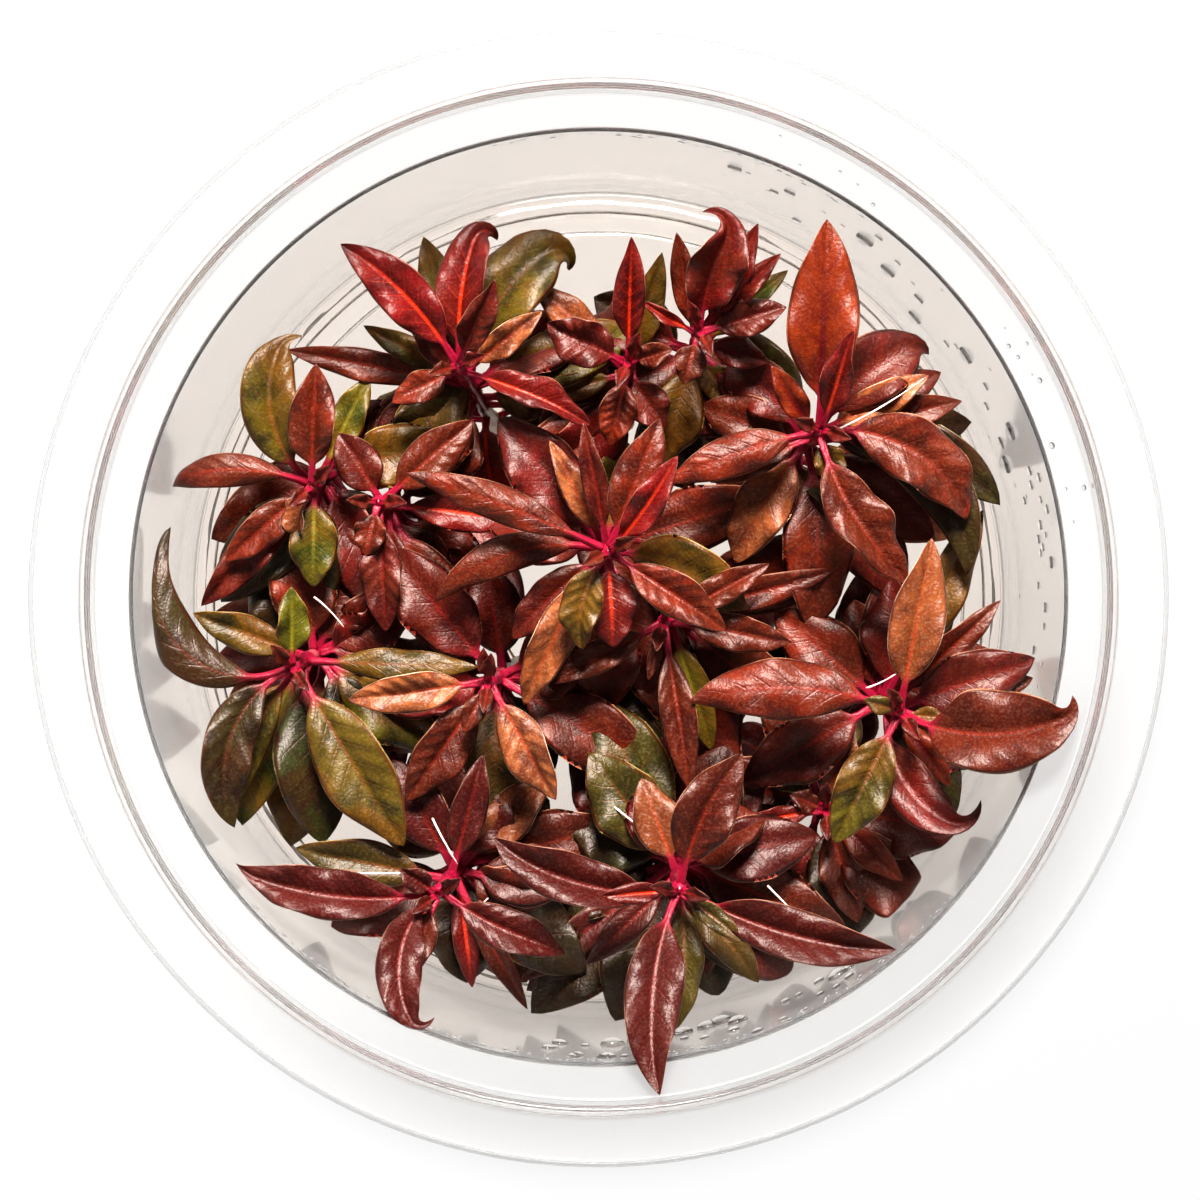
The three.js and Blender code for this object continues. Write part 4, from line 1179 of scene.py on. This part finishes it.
        trait_rows = np.stack(np.broadcast_arrays(under * 1.0, np.full((stations, 1), seed), south_shade), -1)
        draft.add(
            corners.reshape(count, 3) * MM,
            ring_faces(stations, len(ring)),
            skin,
            blade_rows.reshape(count, 3),
            trait_rows.reshape(count, 3),
        )


@dataclass
class Cup:
    """The clear cup: foot ring, tapering wall, sloping step, bead and flange with its turned-down lip.

    Sizes are in millimetres. side and neck are the thickness of the wall and of the mouth.
    """

    rim_height: float = 55.0
    flange_radius: float = 55.0
    mouth_radius: float = 49.0
    foot_radius: float = 42.0
    foot_width: float = 2.8
    floor_rise: float = 1.2
    wall: float = 0.8
    side: float = 0.45
    neck: float = 0.62
    shelf_radius: float = 46.0
    shelf_low: float = 47.4
    shelf_high: float = 50.0
    bead_height: float = 0.5
    bead_width: float = 1.2
    lip_depth: float = 1.6
    lip_width: float = 0.4
    edge_radius: float = 0.12
    edge_sides: int = 6
    foot_slope: float = 0.4
    foot_chamfer: tuple = (0.5, 0.6)
    shelf_overlap: float = 0.1
    floor_corner: tuple = (0.9, 1.0)
    segments: int = 224
    rounding: float = 0.28

    def wall_radius(self, height: Union[float, np.ndarray]) -> Union[float, np.ndarray]:
        """The wall's inner radius at a height.

        Args:
            height: One height or several, in millimetres.

        Returns:
            The radius at each, in millimetres.
        """
        low = self.foot_radius - self.side
        high = self.shelf_radius + self.shelf_overlap - self.side
        return low + (high - low) * (height - self.floor_rise) / (self.shelf_low - self.floor_rise)

    def outline(self) -> list:
        """The half outline of the cup.

        Returns:
            Radius and height in millimetres, from the underside's middle round to the floor's middle.
        """
        under = self.rim_height - self.wall
        floor = self.floor_rise + self.wall
        foot = self.foot_radius - self.foot_width
        low = self.rim_height - self.lip_depth
        outer = self.mouth_radius + self.neck
        return [
            (0, self.floor_rise),
            (foot - self.foot_slope, self.floor_rise),
            (foot, 0),
            (self.foot_radius - self.foot_chamfer[0], 0),
            (self.foot_radius, self.foot_chamfer[1]),
            (self.shelf_radius + self.shelf_overlap, self.shelf_low - self.side),
            (outer, self.shelf_high - self.neck / 2),
            (outer, under),
            (self.flange_radius - self.lip_width, under),
            (self.flange_radius - self.lip_width, low),
            (self.flange_radius, low),
            (self.flange_radius, self.rim_height),
            (self.mouth_radius + self.bead_width, self.rim_height),
            (self.mouth_radius + self.bead_width * 0.75, self.rim_height + self.bead_height),
            (self.mouth_radius + self.bead_width * 0.25, self.rim_height + self.bead_height),
            (self.mouth_radius, self.rim_height),
            (self.mouth_radius, self.shelf_high),
            (self.shelf_radius, self.shelf_low + self.shelf_overlap * 2),
            (self.wall_radius(self.shelf_low), self.shelf_low - self.shelf_overlap),
            (self.wall_radius(floor + self.floor_corner[1]), floor + self.floor_corner[1]),
            (self.wall_radius(floor) - self.floor_corner[0], floor),
            (0, floor),
        ]

    def build(self) -> bpy.types.Object:
        """Turns the rounded outline into the cup.

        Returns:
            The cup with its trimmed edge.
        """
        draft = Draft()
        draft.add(*turned(rounded(self.outline(), self.rounding, 4), self.segments), CUP_FINISH.make())
        draft.add(*self.edge(), EDGE_FINISH.make())
        return draft.make("culture_cup")

    def edge(self) -> tuple:
        """The thin ring under the lip, where the cup was cut from its sheet; its grey is painted shade for the
        dark line that refraction draws there.

        Returns:
            Its points in metres and its faces.
        """
        sides = self.edge_sides
        turns = np.arange(self.segments) / self.segments * 2 * math.pi
        ways = np.arange(sides) / sides * 2 * math.pi
        reach = self.flange_radius - self.lip_width / 2 + self.edge_radius * np.cos(ways)
        height = self.rim_height - self.lip_depth + self.edge_radius * (np.sin(ways) - 1.5)
        points = np.stack([
            np.outer(np.cos(turns), reach),
            np.outer(np.sin(turns), reach),
            np.tile(height, (self.segments, 1)),
        ], -1).reshape(-1, 3) * MM
        faces = []
        for k in range(self.segments):
            for way in range(sides):
                here, beside = k * sides, (way + 1) % sides
                on = (k + 1) % self.segments * sides
                faces.append((here + way, on + way, on + beside, here + beside))
        return points, faces

    def dress(self, piece: bpy.types.Object) -> None:
        """Gives the cup its body and hides the CAD node that it stands for.

        Args:
            piece: The cup.
        """
        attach(piece, BODY)
        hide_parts("cup")


def rounded(outline: list, radius: float, steps: int, support: float = 0.2) -> list:
    """Rounds an outline's corners.

    Args:
        outline: Its corners in millimetres. The first and the last stay as they are.
        radius: How far from a corner its curve starts, at most 0.4 of a side.
        steps: How many points each curve has, less one.
        support: How far past each end of a curve a further point keeps the side flat, as a share of radius.

    Returns:
        The outline with its curves.
    """
    corners = [np.array(corner, float) for corner in outline]
    path = [corners[0]]
    for before, here, after in zip(corners, corners[1:], corners[2:]):
        back, on = before - here, after - here
        start = here + back * min(0.4, radius / np.linalg.norm(back))
        stop = here + on * min(0.4, radius / np.linalg.norm(on))
        path.append(start + (start - here) * support)
        for step in range(steps + 1):
            t = step / steps
            path.append((1 - t) ** 2 * start + 2 * t * (1 - t) * here + t ** 2 * stop)
        path.append(stop + (stop - here) * support)
    path.append(corners[-1])
    return path


def turned(outline: list, segments: int) -> tuple:
    """A closed turned shape.

    Args:
        outline: Radius and height in millimetres. It starts and ends on the axis.
        segments: How many steps go round.

    Returns:
        Its points in metres and its faces.
    """
    turns = np.arange(segments) / segments * 2 * math.pi
    rings = [
        np.stack([r * np.cos(turns), r * np.sin(turns), np.full(segments, z)], 1) for r, z in outline[1:-1]
    ]
    count = len(rings)
    points = np.vstack(rings + [[[0, 0, outline[0][1]]], [[0, 0, outline[-1][1]]]]) * MM
    first, last = count * segments, count * segments + 1
    faces = []
    for k in range(segments):
        n = (k + 1) % segments
        faces.append((first, n, k))
        faces.append((last, (count - 1) * segments + k, (count - 1) * segments + n))
        for ring in range(count - 1):
            a, b = ring * segments + k, ring * segments + n
            faces.append((a, b, b + segments, a + segments))
    return points, faces


@dataclass
class Jelly:
    """The shallow bed of clear jelly, which climbs the wall a little. Sizes are in millimetres."""

    cup: Cup
    top: float = 11.0
    meniscus: float = 1.0
    gap: float = 0.3
    lowest: float = 1.1
    clearance: float = 0.1
    rounding: float = 0.05
    climb_width: float = 3.0
    swell: float = 0.12
    segments: int = 160

    def build(self) -> bpy.types.Object:
        """Turns the jelly's outline, with its surface eased up to the wall.

        Returns:
            The jelly.
        """
        bottom = self.cup.floor_rise + self.cup.wall + self.lowest
        high = self.top + self.meniscus
        outline = [(0, bottom), (self.cup.wall_radius(bottom) - self.clearance, bottom)]
        outline.append((self.cup.wall_radius(high) - self.clearance, high))
        edge = self.cup.wall_radius(high) - self.gap
        for share in (0.0, 0.15, 0.3, 0.5, 0.75, 1.0):
            outline.append((edge - self.climb_width * share, high - self.meniscus * (1 - (1 - share) ** 2.5)))
        for radius in (34.0, 26.0, 18.0, 10.0, 4.0):
            outline.append((radius, self.top + self.swell * math.sin(radius * 0.9)))
        outline.append((0, self.top))
        draft = Draft()
        draft.add(*turned(rounded(outline, self.rounding, 2), self.segments), JELLY_FINISH.make())
        return draft.make("jelly_bed")

    def dress(self, piece: bpy.types.Object) -> None:
        """Gives the jelly its body and hides the CAD node that it stands for.

        Args:
            piece: The jelly.
        """
        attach(piece, BODY)
        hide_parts("jelly")


@dataclass
class Plant:
    """The fourteen shoots: stems, leaves, roots and the stray pale stalks. Sizes are in millimetres.

    The detail of a leaf is how many rings it has and how many steps across each of its two faces.
    """

    form: LeafForm
    stem_radius: float = 0.9
    side_start: float = 0.5
    stem_foot: float = 4.0
    bend_height: float = 0.55
    bend_share: float = 0.3
    jelly_top: float = 11.0
    main_detail: tuple = (46, 16)
    side_detail: tuple = (34, 12)
    small_detail: tuple = (24, 8)
    knots: tuple = (0.3, 0.52, 0.7, 0.86, 0.97)
    knot_length: float = 0.025
    roots: int = 4
    root_reach: tuple = (3.0, 7.0)
    root_limit: float = 38.0
    root_bend: float = 0.9
    root_radius: float = 0.16
    root_taper: float = 0.09
    strand_radius: float = 0.12
    shaded_tiers: int = 5
    shaded_reach: float = 31.0
    shaded_step: float = 27.0
    shaded_tries: int = 12
    shaded_tones: tuple = (OLIVE, BRONZE, WINE, RUBY, WINE, MOSS)

    def __post_init__(self) -> None:
        """Makes the skins once for all shoots."""
        self.skins = {finish.tone: finish.make() for finish in LEAF_FINISHES}
        self.stem_skin = StemFinish().make()
        self.root_skin = RootFinish().make()

    def skin(self, shoot: Shoot, leaf: Leaf) -> bpy.types.Material:
        """The skin of a leaf, by its colour or by its own place in the table of browner leaves."""
        return self.skins[BROWNER.get((shoot.name, leaf.bearing), leaf.tone)]

    def stem_line(self, shoot: Shoot, count: int) -> np.ndarray:
        """The middle line of a stem, from its foot in the jelly to its crown.

        Args:
            shoot: The stem's shoot.
            count: How many points the line has.

        Returns:
            The points in millimetres.
        """
        foot = np.array([*shoot.foot, self.stem_foot], float)
        crown = np.array(shoot.crown, float)
        bend = foot + (crown - foot) * self.bend_share
        bend[2] = crown[2] * self.bend_height
        t = np.linspace(0.0, 1.0, count)[:, None]
        return (1 - t) ** 2 * foot + 2 * t * (1 - t) * bend + t ** 2 * crown

    def ends(self, shoot: Shoot, leaf: Leaf, offset: float) -> tuple:
        """Where a leaf leaves its stem, and where its tip is in plan.

        Args:
            shoot: The leaf's shoot.
            leaf: The leaf.
            offset: How far it starts from the stem's middle, in millimetres.

        Returns:
            Both places in millimetres.
        """
        line = self.stem_line(shoot, 200)
        height = shoot.crown[2] - leaf.drop
        start = np.array([np.interp(height, line[:, 2], line[:, axis]) for axis in range(3)])
        bearing = math.radians(leaf.bearing)
        target = np.array([
            shoot.crown[0] + leaf.reach * math.cos(bearing),
            shoot.crown[1] + leaf.reach * math.sin(bearing),
            0.0,
        ])
        heading = math.atan2(target[1] - start[1], target[0] - start[0]) - math.radians(leaf.swing / 2)
        start[:2] += offset * np.array([math.cos(heading), math.sin(heading)])
        return start, target

    def young(self, index: int) -> list:
        """The two small steep leaves that make a shoot's bud."""
        return [Leaf(SIDE, WINE, turn + index * 47, 3, 1.8, 0, 62, 20, 0, 0, 20) for turn in (20, 200)]

    def lower(self, shoot: Shoot, index: int) -> list:
        """The old leaves low on a stem, which spread into the shade towards the middle of the cup.

        Args:
            shoot: The shoot.
            index: Its place in the table.

        Returns:
            Two leaves.
        """
        inward = math.degrees(math.atan2(-shoot.foot[1], -shoot.foot[0]))
        bare = shoot.crown[2] - self.jelly_top
        return [
            Leaf(SIDE, OLIVE if k else BRONZE, inward + turn + index % 3 * 8, 12 - k * 1.5, 6,
                 bare * (0.36 + k * 0.13), 22 - k * 5, 40, 0, 0, 8)
            for k, turn in enumerate((-50, 50))
        ]

    def shaded(self, shoot: Shoot, index: int, chance: random.Random) -> list:
        """The pairs of leaves in the shade between the stems, each a quarter turn from the pair above.

        Args:
            shoot: The shoot.
            index: Its place in the table.
            chance: The source of their differences.

        Returns:
            The shoot's leaves from SHADED, then the pairs, each turned a step at a time, a few times at most,
            to bring its tip within the inner part of the canopy.
        """
        bare = shoot.crown[2] - self.jelly_top
        made = list(SHADED.get(shoot.name, ()))
        for tier in range(self.shaded_tiers):
            for side in (0, 180):
                bearing = index * 40 + tier * 90 + side + chance.uniform(-18, 18)
                reach = chance.uniform(11, 15)
                for _ in range(self.shaded_tries):
                    x = shoot.crown[0] + reach * math.cos(math.radians(bearing))
                    y = shoot.crown[1] + reach * math.sin(math.radians(bearing))
                    if math.hypot(x, y) < self.shaded_reach:
                        break
                    bearing += self.shaded_step
                drop = bare * (0.28 + tier * 0.14 + chance.uniform(0, 0.06))
                tone = chance.choice(self.shaded_tones)
                made.append(Leaf(SIDE, tone, bearing, reach, chance.uniform(5.5, 7.5), drop,
                                 chance.uniform(8, 30), chance.uniform(25, 65), chance.uniform(-40, 40),
                                 chance.uniform(-32, 32), chance.uniform(4, 24)))
        return made

    def build_main(self, shoot: Shoot, index: int) -> list:
        """Builds the main leaves of a shoot.

        Args:
            shoot: The shoot.
            index: Its place in the table.

        Returns:
            Each leaf's object with its CAD node's name and its slot.
        """
        made = []
        main = [leaf for leaf in shoot.leaves if leaf.kind is MAIN]
        for number, leaf in enumerate(main, 1):
            draft = Draft()
            chance = random.Random(1000 + index * 20 + number)
            ends = self.ends(shoot, leaf, self.stem_radius * 0.6)
            self.form.grow(draft, leaf, ends, *self.main_detail, self.skin(shoot, leaf), chance)
            piece = draft.make(f"blade_{shoot.name}_{number}")
            made.append((piece, f"leaf_{shoot.name}_{number}", f"leaf_{leaf.tone.value}"))
        return made

    def build_stem(self, shoot: Shoot, index: int) -> bpy.types.Object:
        """Builds a stem with its roots, its stray stalks and the leaves that are one with it.

        Args:
            shoot: The stem's shoot.
            index: Its place in the table.

        Returns:
            The stem.
        """
        draft = Draft()
        chance = random.Random(5000 + index)
        line = self.stem_line(shoot, 40)
        share = np.linspace(0.0, 1.0, 40)
        knots = sum(np.exp(-((share - knot) / self.knot_length) ** 2) for knot in self.knots)
        radii = self.stem_radius * (0.92 - 0.22 * share + 0.22 * knots) * (1 - 0.7 * smooth(share, 0.97, 1.0))
        points, faces = tube(line * MM, radii * MM, 14)
        draft.add(points, faces, self.stem_skin)
        self.add_roots(draft, line[0], chance)
        for strand in STRANDS.get(shoot.name, ()):
            self.add_strand(draft, strand)
        side = [leaf for leaf in shoot.leaves if leaf.kind is SIDE]
        for leaf in side:
            ends = self.ends(shoot, leaf, self.side_start)
            self.form.grow(draft, leaf, ends, *self.side_detail, self.skins[leaf.tone], chance)
        for leaf in self.lower(shoot, index) + self.young(index) + self.shaded(shoot, index, chance):
            ends = self.ends(shoot, leaf, self.side_start)
            self.form.grow(draft, leaf, ends, *self.small_detail, self.skins[leaf.tone], chance)
        return draft.make(f"shoot_{shoot.name}")

    def add_roots(self, draft: Draft, foot: np.ndarray, chance: random.Random) -> None:
        """Adds the fine pale roots that spread from a stem's foot through the jelly.

        Args:
            draft: Where they go.
            foot: The stem's foot in millimetres.
            chance: The source of their differences.
        """
        for _ in range(self.roots):
            heading = chance.uniform(0, 2 * math.pi)
            reach = chance.uniform(*self.root_reach)
            inward = max(1.0, (np.hypot(*foot[:2]) + reach) / self.root_limit)
            t = np.linspace(0.0, 1.0, 9)
            bend = chance.uniform(-self.root_bend, self.root_bend)
            x = foot[0] + t * reach * np.cos(heading + bend * t) / inward
            y = foot[1] + t * reach * np.sin(heading + bend * t) / inward
            z = foot[2] + chance.uniform(0.4, 1.6) - 1.3 * t
            radii = self.root_radius - self.root_taper * t
            points, faces = tube(np.stack([x, y, z], 1) * MM, radii * MM, 6)
            draft.add(points, faces, self.root_skin)

    def add_strand(self, draft: Draft, knots: tuple) -> None:
        """Adds a pale stray stalk that bends smoothly from its first knot to its last.

        Args:
            draft: Where it goes.
            knots: Its start, the point that draws its bend, and its end, in millimetres.
        """
        t = np.linspace(0.0, 1.0, 12)[:, None]
        first, bend, last = (np.array(knot, float) for knot in knots)
        line = (1 - t) ** 2 * first + 2 * t * (1 - t) * bend + t ** 2 * last
        radii = self.strand_radius * (1.0 - 0.5 * t[:, 0])
        points, faces = tube(line * MM, radii * MM, 7)
        draft.add(points, faces, self.root_skin)

    def dress(self, piece: bpy.types.Object, node: str, slot: str) -> None:
        """Gives a piece its body and hides the CAD node that it stands for.

        Args:
            piece: A stem or a leaf.
            node: The CAD node's name.
            slot: The slot's name. It is not used.
        """
        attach(piece, BODY)
        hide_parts(node)


@dataclass(frozen=True)
class Patch:
    """A stretch of the cup's inside that carries drops.

    Angles are in degrees, heights and drop sizes in millimetres, and density is in drops to a square metre.
    """

    name: str
    start: float
    stop: float
    low: float
    high: float
    density: float
    smallest: float
    largest: float
    seed: int
    shape: tuple = (1.0, 1.0, 0.6)
    bubbles: bool = False


@dataclass
class Condensation:
    """The drops on the cup's wall and step and the bubbles along the jelly, scattered over patches."""

    cup: Cup
    patches: tuple = (
        Patch("drops_northeast", -20, 75, 20, 45, 24000, 0.20, 1.10, 3),
        Patch("drops_step", 5, 70, 47.9, 49.6, 130000, 0.12, 0.40, 4),
        Patch("drops_north", 55, 105, 44.6, 46.6, 900000, 0.10, 0.28, 5),
        Patch("bubbles_south", -98, -55, 34, 46, 90000, 0.45, 1.30, 6, bubbles=True),
        Patch("froth_south", -140, -40, 44.6, 46.6, 1200000, 0.10, 0.28, 7, bubbles=True),
        Patch("bubbles_east", -5, 20, 34, 45, 30000, 0.40, 0.95, 8, bubbles=True),
    )
    strip_points: int = 24
    rarity: float = 2.4
    drop_sides: int = 10
    drop_rings: int = 6

    def radius(self, height: float) -> float:
        """The inner radius of the cup at a height, on the wall or on the sloping step.

        Args:
            height: The height in millimetres.

        Returns:
            The radius in millimetres.
        """
        if height < self.cup.shelf_low:
            return self.cup.wall_radius(height)
        share = (height - self.cup.shelf_low) / (self.cup.shelf_high - self.cup.shelf_low)
        return self.cup.shelf_radius + share * (self.cup.mouth_radius - self.cup.shelf_radius)

    def carrier(self, patch: Patch, skin: bpy.types.Material) -> bpy.types.Object:
        """A strip of the cup's inner surface that faces the middle.

        Args:
            patch: Where the strip lies.
            skin: Its material, which the drops wear too.

        Returns:
            The strip.
        """
        turns = np.radians(np.linspace(patch.start, patch.stop, self.strip_points))
        rows = [
            np.stack([
                self.radius(z) * np.cos(turns), self.radius(z) * np.sin(turns), np.full(len(turns), z)
            ], 1)
            for z in (patch.low, patch.high)
        ]
        n = len(turns)
        faces = [(k, k + n, k + n + 1, k + 1) for k in range(n - 1)]
        draft = Draft()
        draft.add(np.vstack(rows) * MM, faces, skin)
        return draft.make(patch.name)

    def tree(self, name: str) -> bpy.types.NodeTree:
        """The node tree that scatters drops over the faces of a mesh.

        Args:
            name: The tree's name.

        Returns:
            The tree, with inputs for how many drops there are, how large, of what shape and from which seed.
        """
        tree = bpy.data.node_groups.new(name, "GeometryNodeTree")
        for label, kind in (("Geometry", "Geometry"), ("Density", "Float"), ("Smallest", "Float"),
                            ("Largest", "Float"), ("Shape", "Vector"), ("Seed", "Int"), ("Skin", "Material")):
            tree.interface.new_socket(label, in_out="INPUT", socket_type=f"NodeSocket{kind}")
        tree.interface.new_socket("Geometry", in_out="OUTPUT", socket_type="NodeSocketGeometry")
        nodes, link = tree.nodes, tree.links.new
        given, result = nodes.new("NodeGroupInput"), nodes.new("NodeGroupOutput")
        spread = nodes.new("GeometryNodeDistributePointsOnFaces")
        link(given.outputs["Geometry"], spread.inputs["Mesh"])
        link(given.outputs["Density"], spread.inputs["Density"])
        link(given.outputs["Seed"], spread.inputs["Seed"])
        chance = nodes.new("FunctionNodeRandomValue")
        rare = nodes.new("ShaderNodeMath")
        rare.operation = "POWER"
        rare.inputs[1].default_value = self.rarity
        link(given.outputs["Seed"], chance.inputs["Seed"])
        link(chance.outputs[1], rare.inputs[0])
        size = nodes.new("ShaderNodeMapRange")
        link(rare.outputs[0], size.inputs["Value"])
        link(given.outputs["Smallest"], size.inputs["To Min"])
        link(given.outputs["Largest"], size.inputs["To Max"])
        shaped = nodes.new("ShaderNodeVectorMath")
        shaped.operation = "SCALE"
        link(given.outputs["Shape"], shaped.inputs[0])
        link(size.outputs["Result"], shaped.inputs["Scale"])
        drop = nodes.new("GeometryNodeMeshUVSphere")
        drop.inputs["Radius"].default_value = MM
        drop.inputs["Segments"].default_value = self.drop_sides
        drop.inputs["Rings"].default_value = self.drop_rings
        place = nodes.new("GeometryNodeInstanceOnPoints")
        link(spread.outputs["Points"], place.inputs["Points"])
        link(drop.outputs["Mesh"], place.inputs["Instance"])
        link(spread.outputs["Rotation"], place.inputs["Rotation"])
        link(shaped.outputs[0], place.inputs["Scale"])
        real = nodes.new("GeometryNodeRealizeInstances")
        soft = nodes.new("GeometryNodeSetShadeSmooth")
        paint = nodes.new("GeometryNodeSetMaterial")
        link(given.outputs["Skin"], paint.inputs["Material"])
        link(place.outputs[0], real.inputs[0])
        link(real.outputs[0], soft.inputs[0])
        link(soft.outputs[0], paint.inputs["Geometry"])
        link(paint.outputs[0], result.inputs[0])
        return tree

    def build(self) -> list:
        """Scatters the drops and turns each patch into a plain mesh.

        Returns:
            One object for each patch.
        """
        tree = self.tree("scattered_drops")
        keys = {item.name: item.identifier for item in tree.interface.items_tree if item.in_out == "INPUT"}
        skins = {False: DROP_FINISH.make(), True: BUBBLE_FINISH.make()}
        made = []
        for patch in self.patches:
            skin = skins[patch.bubbles]
            piece = self.carrier(patch, skin)
            scatter = piece.modifiers.new("scatter", "NODES")
            scatter.node_group = tree
            values = {"Density": float(patch.density), "Smallest": patch.smallest, "Largest": patch.largest,
                      "Shape": patch.shape, "Seed": patch.seed, "Skin": skin}
            for label, value in values.items():
                scatter[keys[label]] = value
            bpy.context.view_layer.update()
            graph = bpy.context.evaluated_depsgraph_get()
            plain = bpy.data.meshes.new_from_object(piece.evaluated_get(graph))
            piece.modifiers.remove(scatter)
            piece.data = plain
            made.append(piece)
        return made

    def dress(self, piece: bpy.types.Object) -> None:
        """Gives the drops their body."""
        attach(piece, BODY)


@dataclass
class Studio:
    """The pale floor, the soft light and the camera, which looks straight down into the cup.

    Sizes and spans are in metres. The floor's glow carries a painted shadow of the cup: under the cup, beside
    it on the side that shade_way points to, and a little beyond.
    """

    camera_height: float = 0.535
    camera_shift: tuple = (0.000145, -0.00029)
    lens: float = 149.4
    sensor: float = 36.0
    floor_size: float = 2.4
    floor_glow: float = 0.90
    shade_way: tuple = (0.35, -0.94, 0.0)
    shade_under: float = 0.05
    shade_beside: float = 0.29
    shade_beyond: float = 0.08
    under_span: tuple = (0.053, 0.046)
    beside_span: tuple = (0.065, 0.054)
    beside_way_span: tuple = (0.0, 0.05)
    beyond_way_span: tuple = (0.0, 0.07)
    floor_drop: float = 0.00005
    sky: float = 0.15
    horizon: float = 1.0
    sky_height: float = 0.75
    key_power: float = 46.0
    key_size: float = 0.40
    key_place: tuple = (0.02, 0.72, 0.86)

    def build_floor(self) -> None:
        """Makes the floor, which glows as a light table does, with the cup's shadow painted into its glow."""
        half = self.floor_size / 2
        corners = [(-half, -half, 0), (half, -half, 0), (half, half, 0), (-half, half, 0)]
        graph = Graph("pale_floor")
        place = graph.place()
        reach = graph.node("ShaderNodeVectorMath", {"operation": "LENGTH"}, {0: place}, "Value")
        away = graph.node(
            "ShaderNodeVectorMath", {"operation": "DOT_PRODUCT"}, {0: place, 1: self.shade_way}, "Value"
        )
        # Painted shadow: the glow is dimmed under the cup, beside it away from the light, and a little beyond.
        under = reach.rise(*self.under_span) * self.shade_under
        beside = reach.rise(*self.beside_span) * away.rise(*self.beside_way_span) * self.shade_beside
        beyond = away.rise(*self.beyond_way_span) * self.shade_beyond
        graph.finish(
            Base_Color=(0.0, 0.0, 0.0, 1.0),
            Specular_IOR_Level=0.0,
            Emission_Color=1.0 - under - beside - beyond,
            Emission_Strength=self.floor_glow,
        )
        draft = Draft()
        draft.add(np.array(corners) - (0, 0, self.floor_drop), [(0, 1, 2, 3)], graph.material)
        draft.make("floor")

    def build_light(self) -> None:
        """Makes the sky, bright above and dim at the horizon, and one large soft light."""
        world = bpy.data.worlds.new("studio")
        bpy.context.scene.world = world
        world.use_nodes = True
        nodes, links = world.node_tree.nodes, world.node_tree.links
        way = nodes.new("ShaderNodeTexCoord")
        split = nodes.new("ShaderNodeSeparateXYZ")
        fade = nodes.new("ShaderNodeMapRange")
        links.new(way.outputs["Generated"], split.inputs[0])
        links.new(split.outputs["Z"], fade.inputs["Value"])
        span = {"From Min": 0.0, "From Max": self.sky_height, "To Min": self.horizon, "To Max": self.sky}
        for name, value in span.items():
            fade.inputs[name].default_value = value
        links.new(fade.outputs["Result"], nodes["Background"].inputs["Strength"])
        nodes["Background"].inputs["Color"].default_value = (1.0, 1.0, 1.0, 1.0)
        light = bpy.data.lights.new("softbox", "AREA")
        light.energy = self.key_power
        light.shape = "DISK"
        light.size = self.key_size
        holder = bpy.data.objects.new("softbox", light)
        holder.location = self.key_place
        east, north, up = self.key_place
        holder.rotation_euler = (math.atan2(math.hypot(east, north), up), 0.0, math.atan2(east, -north))
        bpy.context.scene.collection.objects.link(holder)

    def build_camera(self) -> None:
        """Makes the camera, straight above the cup."""
        data = bpy.data.cameras.new("camera")
        data.lens = self.lens
        data.sensor_width = self.sensor
        data.clip_start = 0.01
        camera = bpy.data.objects.new("camera", data)
        camera.location = (*self.camera_shift, self.camera_height)
        bpy.context.scene.collection.objects.link(camera)
        bpy.context.scene.camera = camera

    def build(self) -> None:
        """Builds the floor, the light and the camera."""
        self.build_floor()
        self.build_light()
        self.build_camera()
        bpy.context.scene.view_settings.view_transform = "Standard"
        bpy.context.scene.view_settings.look = "Medium High Contrast"


def main() -> None:
    """Loads the frame and builds every piece around it, logging each piece's faces."""
    logging.basicConfig(level=logging.INFO, format="%(message)s")
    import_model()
    cup = Cup()
    piece = cup.build()
    cup.dress(piece)
    LOG.info("%s: %d faces", piece.name, len(piece.data.polygons))
    jelly = Jelly(cup)
    piece = jelly.build()
    jelly.dress(piece)
    LOG.info("%s: %d faces", piece.name, len(piece.data.polygons))
    plant = Plant(LeafForm(cup))
    for index, shoot in enumerate(SHOOTS):
        for piece, node, slot in plant.build_main(shoot, index):
            plant.dress(piece, node, slot)
            LOG.info("%s: %d faces", piece.name, len(piece.data.polygons))
        piece = plant.build_stem(shoot, index)
        plant.dress(piece, f"stem_{shoot.name}", "stem")
        LOG.info("%s: %d faces", piece.name, len(piece.data.polygons))
    condensation = Condensation(cup)
    for piece in condensation.build():
        condensation.dress(piece)
        LOG.info("%s: %d faces", piece.name, len(piece.data.polygons))
    Studio().build()
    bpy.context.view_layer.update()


if __name__ == "__main__":
    main()
